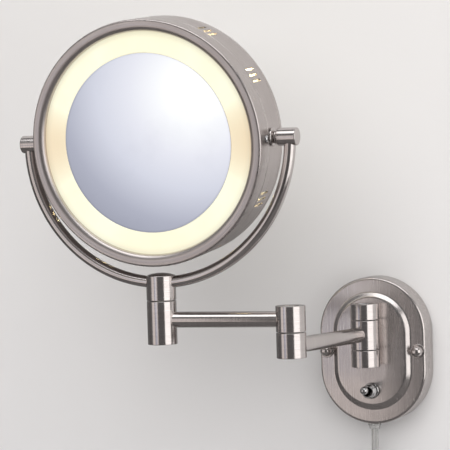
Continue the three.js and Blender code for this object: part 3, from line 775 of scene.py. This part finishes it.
# The drum's side is a grid with the slots left out, walled between its outer and inner faces.
def makeDrum():
    radius = head["radius"]
    halfTurn = vents["width"] / 2 / radius * 180 / pi
    middles = [centre + step * vents["pitch"] for centre in vents["centres"] for step in vents["perGroup"]]
    slots = [(middle - halfTurn, middle + halfTurn) for middle in middles]
    edges = {round(value, 6) for slot in slots for value in slot}
    plain = [n * 360 / head["around"] for n in range(head["around"])]
    # an even division is dropped where it falls beside a slot's edge
    kept = [value for value in plain if all(abs(value - edge) > 0.45 for edge in edges)]
    turns = sorted(edges | {round(value, 6) for value in kept})
    slotLow = vents["middle"] - vents["length"] / 2
    heights = [head["frontSeam"], slotLow, slotLow + vents["length"], head["rearSeam"]]
    vertices, grain = [], []
    number = {}
    for layer, size in enumerate((radius, radius - vents["wall"])):
        for row, height in enumerate(heights):
            for column, degrees in enumerate(turns):
                number[layer, row, column] = len(vertices)
                turn = radians(degrees)
                vertices.append(spot((size * cos(turn), height, size * sin(turn))))
                grain.append((size * mm * cos(turn), size * mm * sin(turn), height * mm))
    count = len(turns)

    def isOpenAt(row, column):
        if not 0 <= row < len(heights) - 1:
            return True
        column %= count
        middle = (turns[column] + (turns + [360])[column + 1]) / 2
        return row == 1 and any(low < middle < high for low, high in slots)

    faces = []
    for row in range(len(heights) - 1):
        for column in range(count):
            if isOpenAt(row, column):
                continue
            after = (column + 1) % count
            corners = [(row, column), (row, after), (row + 1, after), (row + 1, column)]
            faces.append([number[(0, *corner)] for corner in corners][::-1])
            faces.append([number[(1, *corner)] for corner in corners])
            sides = ((0, 1, isOpenAt(row - 1, column)), (3, 2, isOpenAt(row + 1, column)),
                     (0, 3, isOpenAt(row, column - 1)), (1, 2, isOpenAt(row, column + 1)))
            for start, end, isOpen in sides:
                if isOpen:
                    first, second = corners[start], corners[end]
                    faces.append([number[(0, *first)], number[(0, *second)],
                                  number[(1, *second)], number[(1, *first)]])
    edge = [0.0] * len(vertices)
    nodes = ("drum_shell",)
    drum = finishPiece("drumShell", vertices, faces, "head", satin, nodes, grain, edge, headPlace, 30)
    soften = drum.modifiers.new("softened edges", "BEVEL")
    soften.width = vents["softening"] * mm
    soften.segments = 2
    soften.limit_method = "ANGLE"
    soften.angle_limit = radians(40)
    drum.modifiers.move(1, 0)
    # a plain ring inside each end of the drum, which the bezels slip over
    inner, outer = head["spigotRadii"]
    spigots = (("frontSpigot", -18, head["frontSeam"] + 1), ("rearSpigot", head["rearSeam"] - 1, 23.4))
    for name, low, high in spigots:
        outline = [(inner, low), (outer, low), (outer, high), (inner, high)]
        turnedPiece(name, outline, "head", satin, "y", 96, headPlace, None, 0.2, 2)


glass = {"radius": 73.9, "face": 19.6, "thickness": 3, "dish": 4.4, "polishedEdge": 0.3}


def makeGlasses():
    face, thick, radius = glass["face"], glass["thickness"], glass["radius"]
    flat = [(0, -face), (radius - 2, -face, 0), (radius, -face, glass["polishedEdge"]),
            (radius, thick - face, 0.3), (0, thick - face)]
    turnedPiece("frontMirrorGlass", flat, "head", silver, "y", 144, headPlace, "front_mirror_glass")
    steps = 18
    under = []
    for n in range(steps + 1):
        share = n / steps
        under.append((radius * share, face - thick - glass["dish"] * (1 - share ** 2), 0))
    over = [(size, height + thick, 0) for size, height, _ in under][::-1]
    dished = under + over
    turnedPiece("rearMirrorGlass", dished, "head", silver, "y", 144, headPlace, "rear_mirror_glass", sharp=60)


diffuser = {"inner": 74.05, "outer": 97.2, "face": 20, "thickness": 1.7, "lip": 3.4}


def makeDiffusers():
    face, inner, outer = -diffuser["face"], diffuser["inner"], diffuser["outer"]
    back, lipBack, step = face + diffuser["thickness"], face + diffuser["lip"], inner + 2
    outline = [(inner, face, 0.5), (outer, face, 0.2), (outer, back, 0.2), (step, back, 0.2),
               (step, lipBack, 0.2), (inner, lipBack, 0.2)]
    turnedPiece("frontHalo", outline, "head", haloGlow, "y", 144, headPlace, "front_halo_diffuser")
    rear = mirroredOutline(outline)
    turnedPiece("rearHalo", rear, "head", haloGlow, "y", 144, headPlace, "rear_halo_diffuser")


pivot = {"studRadius": 3, "flangeRadius": 7.8, "beadRadius": 6.4, "screwY": -13}


# Each side's pieces are drawn along the tilt axis from the drum's middle, and turned over for the left.
def makePivots():
    shaft, rim, bead = pivot["studRadius"], pivot["flangeRadius"], pivot["beadRadius"]
    flange = head["radius"] + 0.3
    stud = [(0, 91), (shaft, 91, 0), (shaft, flange, 0), (rim - 0.5, flange, 0.2), (rim, flange + 0.6, 0.3),
            (rim - 0.3, flange + 1.5, 0.4), (bead - 0.8, flange + 2.4, 0.4), (bead - 1.6, flange + 2.6, 0.2),
            (shaft, flange + 2.6, 0), (shaft, 118, 0), (0, 118)]
    start, end, bore = flange + 2.85, 106.95, shaft + 0.3
    washer = [(bore, start), (bead - 1.2, start), (bead - 0.4, flange + 3.6), (bead - 0.4, flange + 4.6),
              (bead - 1.2, end), (bore, end)]
    screw = [(0, 94.5), (1.5, 94.5, 0), (1.5, flange, 0), (2.9, flange, 0.1), (2.75, flange + 0.8, 0.4),
             (1.8, flange + 1.55, 0.4), (0, flange + 1.8)]
    for turn, word in ((pi, "left"), (0, "right")):
        place = headPlace @ Matrix.Rotation(turn, 4, "Y")
        title = word.capitalize()
        turnedPiece("pivotStud" + title, stud, "head", bright, "x", 48, place, "pivot_stud_" + word)
        turnedPiece("pivotWasher" + title, washer, "head", bright, "x", 48, place, "pivot_washer_" + word,
                    steps=2)
        place = place @ Matrix.Translation(spot((0, pivot["screwY"], 0)))
        turnedPiece("bezelScrew" + title, screw, "head", chrome, "x", 40, place, "bezel_screw_" + word)


makeBezels()
makeDrum()
makeGlasses()
makeDiffusers()
makePivots()
print("head is turned")


yoke = {
    "radius": 117,
    "tube": 4.8,
    "endRadius": 7.3,
    "endFrom": 107.2,
    "endTo": 123.5,
    "top": 4.3,
    "boreDepth": 12.3,
    "hubDome": 2.3,
    "steps": 120,
}
knuckle = {"radius": 12.2, "size": 0.45, "pin": 4, "pocket": 7.05, "nutDepth": 4.5, "headDepth": 2.4}
arm = {"radius": 6.5, "wall": 1.5, "inset": 8.7}


def makeYoke():
    centre = joints["head_tilt"]
    reach = radians(90) - asin(yoke["top"] / yoke["radius"])
    centres, sides = [], []
    for step in range(yoke["steps"] + 1):
        turn = reach * (2 * step / yoke["steps"] - 1)
        outward = Vector((sin(turn), 0, -cos(turn)))
        centres.append(centre + outward * yoke["radius"] * mm)
        sides.append(outward)
    lifts = [Vector((0, 1, 0))] * len(centres)
    sweptPiece("yokeTube", centres, sides, lifts, circle(yoke["tube"], 32), "yoke", bright, ("yoke_tube",))
    start, end, radius = yoke["endFrom"], yoke["endTo"], yoke["endRadius"]
    bore, boreEnd = pivot["studRadius"] + 0.3, start + yoke["boreDepth"]
    outline = [(0, boreEnd), (bore, boreEnd, 0), (bore, start, 0.1), (radius, start, 0.7), (radius, end, 0.9),
               (0, end)]
    for turn, word in ((pi, "left"), (0, "right")):
        place = Matrix.Translation(centre) @ Matrix.Rotation(turn, 4, "Y")
        title = "yokeEnd" + word.capitalize()
        turnedPiece(title, outline, "yoke", bright, "x", 64, place, "yoke_end_" + word, steps=4)
    axis = joints["head_swivel"]
    low, high = (corner.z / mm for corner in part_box("yoke_hub"))
    shoulder = high - yoke["hubDome"]
    radius = knuckle["radius"]
    hub = [(0, low), (radius, low, knuckle["size"]), (radius, shoulder, 0.6),
           (radius * 0.66, shoulder + 1.5, 1.5), (radius * 0.25, high - 0.12, 1.2), (0, high)]
    place = Matrix.Translation((axis.x, axis.y, 0))
    turnedPiece("yokeHub", hub, "yoke", bright, "z", 96, place, "yoke_hub", steps=4)


# One knuckle of a hinge. kind says what is let into its free end: the pin's head, its nut, or nothing.
def makeKnuckle(title, node, body, axis, kind):
    low, high = (corner.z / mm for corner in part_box(node))
    radius, size, pocket = knuckle["radius"], knuckle["size"], knuckle["pocket"]
    bore = knuckle["pin"] + 0.3
    outline = [(radius, low, size), (radius, high, size)]
    if kind == "head":
        floor = high - knuckle["headDepth"]
        outline += [(pocket, high, 0.3), (pocket, floor, 0.1), (bore, floor, 0.1), (bore, low, 0.2)]
    elif kind == "nut":
        ceiling = low + knuckle["nutDepth"] + 0.3
        outline += [(bore, high, 0.2), (bore, ceiling, 0.1), (pocket, ceiling, 0.1), (pocket, low, 0.3)]
    else:
        outline += [(bore, high, 0.2), (bore, low, 0.2)]
    place = Matrix.Translation((axis.x, axis.y, 0))
    turnedPiece(title, outline, body, bright, "z", 96, place, node, steps=4)


# A tube from one hinge axis to the next, let into the knuckle at each end.
def makeArm(title, node, body, start, end):
    run = Vector((end.x - start.x, end.y - start.y, 0))
    length = run.length / mm
    place = Matrix.Translation((start.x, start.y, middleHeight(node)))
    place = place @ run.to_track_quat("X", "Z").to_matrix().to_4x4()
    radius, inset, shoulder = arm["radius"], arm["inset"], knuckle["radius"] - 1.2
    inner = radius - arm["wall"]
    outline = [(inner, inset, 0), (radius, inset, 0), (radius, shoulder, 0), (radius, length - shoulder, 0),
               (radius, length - inset, 0), (inner, length - inset, 0)]
    turnedPiece(title, outline, body, bright, "x", 64, place, node)


makeYoke()
wallAxis, elbowAxis, headAxis = joints["wall_swivel"], joints["elbow_swivel"], joints["head_swivel"]
makeKnuckle("wallKnuckle", "wall_hub", "inner_arm", wallAxis, "plain")
makeKnuckle("elbowLowerKnuckle", "elbow_lower_hub", "inner_arm", elbowAxis, "nut")
makeKnuckle("elbowUpperKnuckle", "elbow_upper_hub", "outer_arm", elbowAxis, "head")
makeKnuckle("headKnuckle", "head_hub", "outer_arm", headAxis, "nut")
makeArm("innerArm", "inner_arm_tube", "inner_arm", wallAxis, elbowAxis)
makeArm("outerArm", "outer_arm_tube", "outer_arm", elbowAxis, headAxis)
print("arms are joined")


plate = {
    "halfWidth": 47.5,
    "halfHeight": 63.5,
    "depth": 22.5,
    "wall": 1.6,
    "edgeSize": 2.6,
    "plateauHalfWidth": 34.5,
    "rise": 4.5,
    "slope": 4.4,
    "crown": 1.2,
    "crownRings": (26, 22, 18, 15, 12),
    "rimSlope": 0.5,
    "arcSteps": 48,
    "sideSteps": 6,
}


def obroundLine(halfWidth, halfHeight):
    straight = halfHeight - halfWidth
    line = []
    for flip in (1, -1):
        for step in range(plate["arcSteps"]):
            turn = pi * step / plate["arcSteps"]
            line.append((flip * halfWidth * cos(turn), flip * (straight + halfWidth * sin(turn))))
        for step in range(plate["sideSteps"]):
            share = step / plate["sideSteps"]
            line.append((-flip * halfWidth, flip * straight * (1 - 2 * share)))
    return line


# The pressed cover, as rings of one outline: from its rear edge over its front, and back along its inside.
def makePlate():
    width, height, depth = plate["halfWidth"], plate["halfHeight"], plate["depth"]
    raised, wall, crown = plate["plateauHalfWidth"], plate["wall"], plate["crown"]
    top = raised - plate["slope"]
    front = depth + plate["rise"]
    outline = [(width, 0, 0.3), (width, depth, plate["edgeSize"]), (raised, depth + plate["rimSlope"], 0.9),
               (top + 0.6, front - crown, 1.5)]
    # the plateau's face is slightly crowned
    outline += [(size, front - crown * (size / top) ** 2, 0) for size in plate["crownRings"]]
    middle = outline[-1][0]
    inside = front - wall - crown
    outline += [(middle, inside, 0), (top - 1.3, inside, 0.8), (raised - 1.6, depth - wall, 0.8),
                (width - wall, depth - wall, 1.2), (width - wall, 0, 0.3)]
    points, onEdge = roundedOutline(outline, 0.3, 4, True)
    vertices, grain, edge = [], [], []
    for (size, forward), isEdge in zip(points, onEdge):
        for x, z in obroundLine(size, size + height - width):
            vertices.append(spot((x, -forward, z)))
            grain.append((z * mm, forward * mm, x * mm))
            edge.append(isEdge)
    levels = len(points)
    count = len(vertices) // levels
    faces = []
    for level in range(levels):
        low, high = level * count, (level + 1) % levels * count
        if points[level][0] == middle and points[(level + 1) % levels][0] == middle:
            faces.append(list(range(low, low + count)))
            faces.append(list(range(high, high + count))[::-1])
            continue
        for n in range(count):
            after = (n + 1) % count
            faces.append([low + n, low + after, high + after, high + n])
    finishPiece("wallPlate", vertices, faces, "wall", plateSatin, ("wall_plate",), grain, edge, sharp=40)


ear = {"neck": 5.5, "neckFlare": 7.2, "sink": 0.5}


def makeEars():
    axis = joints["wall_swivel"]
    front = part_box("switch_nut")[1].y
    length = (front - axis.y) / mm + ear["sink"]
    neck, flare = ear["neck"], ear["neckFlare"]
    outline = [(0, 8), (neck, 8, 0), (neck, length - 2.4, 0.9), (flare, length - 1.4, 0.5),
               (flare, length, 0.2), (0, length)]
    for word, kind in (("upper", "head"), ("lower", "nut")):
        makeKnuckle(word + "Ear", word + "_ear", "wall", axis, kind)
        place = Matrix.Translation((axis.x, axis.y, middleHeight(word + "_ear")))
        turnedPiece(word + "EarNeck", outline, "wall", bright, "y", 48, place)


coverScrew = {"x": 41, "dome": 5.0, "washer": 6.3}


def makeCoverScrews():
    seat = -plate["depth"] - 0.3
    dome, washer = coverScrew["dome"], coverScrew["washer"]
    outline = [(0, seat - 8.2), (2.5, seat - 7.7, 0.8), (4.3, seat - 6.1, 1.2), (dome, seat - 3.8, 1.0),
               (dome, seat - 1.9, 0.2), (dome - 0.5, seat - 1.7, 0.15), (dome - 0.4, seat - 1.4, 0.15),
               (washer, seat - 1.2, 0.4), (washer, seat, 0.2), (2, seat, 0), (2, -0.8, 0), (0, -0.8)]
    for side, word in ((-1, "left"), (1, "right")):
        place = Matrix.Translation(spot((side * coverScrew["x"], 0, 0)))
        title = "coverScrew" + word.capitalize()
        turnedPiece(title, outline, "wall", bright, "y", 56, place, "cover_screw_" + word)


switch = {
    "bore": 4.2,
    "radius": 5.8,
    "front": -38,
    "back": -25.1,
    "pitch": 1.25,
    "nut": 7,
    "tip": 3.6,
    "reach": 16,
    "tilt": 8,
}


def ballPoints(radius, height, angles):
    turns = [radians(degrees) for degrees in angles]
    return [(radius * cos(turn), height + radius * sin(turn), 0) for turn in turns]


def makeSwitch():
    pivotPlace = joints["switch_toggle"]
    place = Matrix.Translation((pivotPlace.x, 0, pivotPlace.z))
    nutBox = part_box("switch_nut")
    nutFront, nutBack = nutBox[0].y / mm, nutBox[1].y / mm + 0.4
    radius, bore, front, pitch = (switch[key] for key in ("radius", "bore", "front", "pitch"))
    root, back = radius - 0.55, switch["back"]
    outline = [(bore, front, 0.3), (radius - 0.9, front, 0.3)]
    y = front + 1.0
    while y + pitch < nutFront - 0.2:
        outline += [(root, y, 0.1), (radius, y + pitch / 2, 0.1)]
        y += pitch
    outline += [(root, y, 0.1), (root, back, 0), (bore, back, 0)]
    turnedPiece("switchBushing", outline, "wall", chrome, "y", 64, place, "switch_bushing", 0.2, 2)
    inner, outer = radius + 0.25, switch["nut"]
    nut = [(inner, nutFront, 0.2), (outer - 0.5, nutFront, 0.2), (outer, nutFront + 0.9, 0.3),
           (outer, nutBack, 0.1), (inner, nutBack, 0.1)]
    turnedPiece("switchNut", nut, "wall", chrome, "y", 64, place, "switch_nut")
    tip, reach = switch["tip"], switch["reach"]
    # each ball's pole lies exactly on the axis
    ball = [(0, -reach - tip, 0)] + ballPoints(tip, -reach, range(-81, 46, 9))
    lower = ballPoints(tip, 0, range(-40, 90, 10)) + [(0, tip, 0)]
    lever = ball + [(1.75, -reach + 3.9, 0.6), (2.3, -3.4, 0.6)] + lower
    place = Matrix.Translation(pivotPlace) @ Matrix.Rotation(-radians(switch["tilt"]), 4, "X")
    turnedPiece("toggleLever", lever, "toggle", chrome, "y", 48, place, "toggle_lever")


makePlate()
makeEars()
makeCoverScrews()
makeSwitch()
print("wall plate is pressed")


# CAD nodes that show as they are, and what covers them
keptFinish = {
    zinc: ["mounting_bracket", "upper_ear_nut", "lower_ear_nut", "wall_pin", "wall_pin_nut", "elbow_pin",
           "elbow_pin_nut", "head_swivel_pin", "head_swivel_nut", "pivot_nut_left", "pivot_nut_right"],
    blackPlastic: ["switch_body"],
    nylon: ["elbow_washer", "head_swivel_washer"],
    enamel: ["mirror_carrier"],
    lampGlow: [f"lamp_{number}" for number in (1, 2, 3, 4)],
    ceramic: [f"lamp_holder_{number}" for number in (1, 2, 3, 4)],
}


def finishKeptNodes():
    for material, nodes in keptFinish.items():
        for node in nodes:
            mesh = frame["nodes"][node].data
            mesh.materials.clear()
            mesh.materials.append(material)
            smoothFaces(mesh, 35)


finishKeptNodes()
print("kept nodes are finished")


studio = {
    "wallTop": (0.76, 0.745, 0.735, 1),
    "wallBottom": (0.75, 0.74, 0.74, 1),
    "floor": -0.75,
    "cove": 0.35,
    "wallY": 0.001,
    "wallHeight": 3.0,
    "halfWidth": 4.0,
    "floorReach": 4.5,
    "lightsAim": (-0.08, -0.1, 0.08),
    "worldLow": (0.10, 0.095, 0.095, 1),
    "worldHigh": (0.26, 0.26, 0.265, 1),
    "wallOpening": 0.042,
    # painted shade that only reflections see on the wall: its least and most, and where it falls
    "leastShade": 0.15,
    "mostShade": 0.88,
    "shadeAcross": (-0.22, 0.02),
    "shadeUp": (0.12, 0.28),
    "shadeFloor": (-0.40, -0.12),
    "worldSeen": (0.80, 0.79, 0.78, 1),
}

# Each light is (name, azimuth, elevation, distance, width, height, power, colour, whether metal shows it).
lights = [
    ("right box", 67, 4, 1.7, 1.55, 1.5, 11.5, (1.0, 0.985, 0.97), True),
    ("left box", -44, 6, 1.8, 1.0, 1.5, 1.2, (1.0, 0.98, 0.96), True),
    ("top box", 6, 58, 1.7, 2.2, 0.8, 11.0, (1.0, 1.0, 1.0), True),
    ("back box", 180, 10, 1.5, 0.8, 0.8, 5.0, (1.0, 1.0, 1.0), True),
    ("wall fill", 2, 30, 2.4, 2.6, 2.0, 35.5, (1.0, 0.99, 0.98), False),
]


# One sheet: the wall, a wide cove and the floor. Its back can be seen through.
def makeBackdrop():
    cove, floor, wallY = studio["cove"], studio["floor"], studio["wallY"]
    profile = [(wallY, z) for z in (studio["wallHeight"], 1.2, 0.4, floor + cove)]
    for step in range(1, 17):
        turn = radians(90 * step / 16)
        profile.append((wallY - cove * (1 - cos(turn)), floor + cove * (1 - sin(turn))))
    profile.append((-studio["floorReach"], floor))
    side = studio["halfWidth"]
    vertices = [(x, y, z) for y, z in profile for x in (-side, side)]
    faces = [[2 * n, 2 * n + 1, 2 * n + 3, 2 * n + 2] for n in range(len(profile) - 1)]
    mesh = bpy.data.meshes.new("backdrop")
    mesh.from_pydata(vertices, [], faces)
    mesh.polygons.foreach_set("use_smooth", [True] * len(mesh.polygons))
    if mesh.polygons[0].normal.y > 0:
        mesh.flip_normals()
    sheet = addObject("backdrop", mesh)
    material, tree, shader = newMaterial("painted wall", Roughness=0.85)
    place = objectPlace(tree)
    across, _, height = addNode(tree, "SeparateXYZ", {0: place}).outputs
    paint = mixed(tree, remap(tree, height, -0.12, 0.30), studio["wallBottom"], studio["wallTop"])
    # painted shade: in reflections the wall is darker towards the left and the floor, as with black cards
    # standing there
    leftSide = remap(tree, across, *studio["shadeAcross"], 1.0, 0.0)
    underTop = remap(tree, height, *studio["shadeUp"], 1.0, 0.0)
    floorSide = remap(tree, height, *studio["shadeFloor"], 1.0, 0.0)
    dark = combine(tree, "MAXIMUM", combine(tree, "MULTIPLY", leftSide, underTop), floorSide)
    shade = remap(tree, dark, 0.0, 1.0, studio["leastShade"], studio["mostShade"])
    inMetal = addNode(tree, "LightPath").outputs["Is Glossy Ray"]
    # painted shade: glossy rays see the wall mixed towards near black by this mask
    paint = mixed(tree, combine(tree, "MULTIPLY", inMetal, shade), paint, (0.08, 0.075, 0.075, 1))
    feed(tree, shader, Base_Color=paint)
    back = addNode(tree, "NewGeometry").outputs["Backfacing"]
    # open behind the plate too, where only its hollow back can see it
    flattened = addNode(tree, "VectorMath", {0: place, 1: (1, 1, 0.75)}, operation="MULTIPLY").outputs[0]
    fromPlate = addNode(tree, "VectorMath", {0: flattened}, operation="LENGTH").outputs["Value"]
    isHidden = combine(tree, "LESS_THAN", fromPlate, studio["wallOpening"])
    isOpen = combine(tree, "MAXIMUM", back, isHidden)
    clear = addNode(tree, "BsdfTransparent").outputs[0]
    both = addNode(tree, "MixShader", {0: isOpen, 1: shader.outputs[0], 2: clear})
    tree.links.new(both.outputs[0], tree.nodes["Material Output"].inputs["Surface"])
    mesh.materials.append(material)


def makeWorld():
    world = bpy.data.worlds.new("studio")
    bpy.context.scene.world = world
    world.use_nodes = True
    tree = world.node_tree
    background = tree.nodes["Background"]
    direction = addNode(tree, "TexCoord").outputs["Generated"]
    upward = addNode(tree, "SeparateXYZ", {0: direction}).outputs["Z"]
    around = mixed(tree, remap(tree, upward, -0.3, 0.8), studio["worldLow"], studio["worldHigh"])
    seen = addNode(tree, "LightPath").outputs["Is Camera Ray"]
    tree.links.new(mixed(tree, seen, around, studio["worldSeen"]), background.inputs["Color"])


# A soft box, at azimuth and elevation round the object, in degrees from straight in front.
def softBox(name, azimuth, elevation, distance, width, height, power, colour, inMetal):
    data = bpy.data.lights.new(name, "AREA")
    data.shape = "RECTANGLE"
    data.size = width
    data.size_y = height
    data.energy = power
    data.color = colour
    lamp = addObject(name, data)
    turn, lift = radians(azimuth), radians(elevation)
    back = Vector((sin(turn) * cos(lift), -cos(turn) * cos(lift), sin(lift)))
    lamp.location = Vector(studio["lightsAim"]) + back * distance
    lamp.rotation_mode = "QUATERNION"
    lamp.rotation_quaternion = back.to_track_quat("Z", "Y")
    lamp.visible_camera = False
    lamp.visible_glossy = inMetal


# Each shade stands at a share of the way out from the bright spot.
card = {
    "distance": 1.0,
    "spot": (0.072, 0.058, 0),
    "spotReach": (0.04, 0.24),
    "shades": [
        (0, (1.0, 1.0, 1.0, 1)),
        (0.24, (0.80, 0.80, 0.86, 1)),
        (0.45, (0.66, 0.67, 0.75, 1)),
        (0.68, (0.43, 0.44, 0.52, 1)),
        (1, (0.26, 0.27, 0.33, 1)),
    ],
    "surroundFrom": (0.15, 0.21),
    "surround": (0.80, 0.74, 0.71, 1),
    "strength": 1.1,
    "sides": (-0.6, 0.28, -0.45, 0.42),
}


# A lit card that only reflections see. Its middle shades from white to blue grey, for the mirror to show,
# and its warm surround lights the metal from the left.
def makeCard():
    glassCentre = joints["head_tilt"] + spot((0, -glass["face"], 0))
    tilt = radians(head["tilt"])
    facing = Vector((0, -cos(tilt), -sin(tilt)))
    sight = (glassCentre - Vector(camera["place"])).normalized()
    away = (sight - 2 * sight.dot(facing) * facing).normalized()
    mesh = bpy.data.meshes.new("card")
    left, right, low, high = card["sides"]
    mesh.from_pydata([(left, low, 0), (right, low, 0), (right, high, 0), (left, high, 0)], [], [(0, 1, 2, 3)])
    sheet = addObject("card", mesh)
    turned = away.to_track_quat("Z", "Y").to_matrix().to_4x4()
    sheet.matrix_world = Matrix.Translation(glassCentre + away * card["distance"]) @ turned
    material = bpy.data.materials.new("lit card")
    material.use_nodes = True
    tree = material.node_tree
    tree.nodes.clear()
    place = objectPlace(tree)
    fromSpot = addNode(tree, "VectorMath", {0: place, 1: card["spot"]}, operation="DISTANCE").outputs["Value"]
    shade = addNode(tree, "ValToRGB", {0: remap(tree, fromSpot, *card["spotReach"])})
    elements = shade.color_ramp.elements
    elements[0].color, elements[1].color = card["shades"][0][1], card["shades"][-1][1]
    for share, colour in card["shades"][1:-1]:
        elements.new(share).color = colour
    fromMiddle = addNode(tree, "VectorMath", {0: place}, operation="LENGTH").outputs["Value"]
    outside = remap(tree, fromMiddle, *card["surroundFrom"])
    colour = mixed(tree, outside, shade.outputs[0], card["surround"])
    glow = addNode(tree, "Emission", {"Color": colour, "Strength": card["strength"]})
    addNode(tree, "OutputMaterial", {"Surface": glow.outputs[0]})
    mesh.materials.append(material)
    sheet.visible_camera = False
    sheet.visible_diffuse = False
    sheet.visible_shadow = False


makeBackdrop()
makeWorld()
for light in lights:
    softBox(*light)
makeCard()
bpy.context.scene.view_settings.view_transform = "Standard"
print("studio is lit")
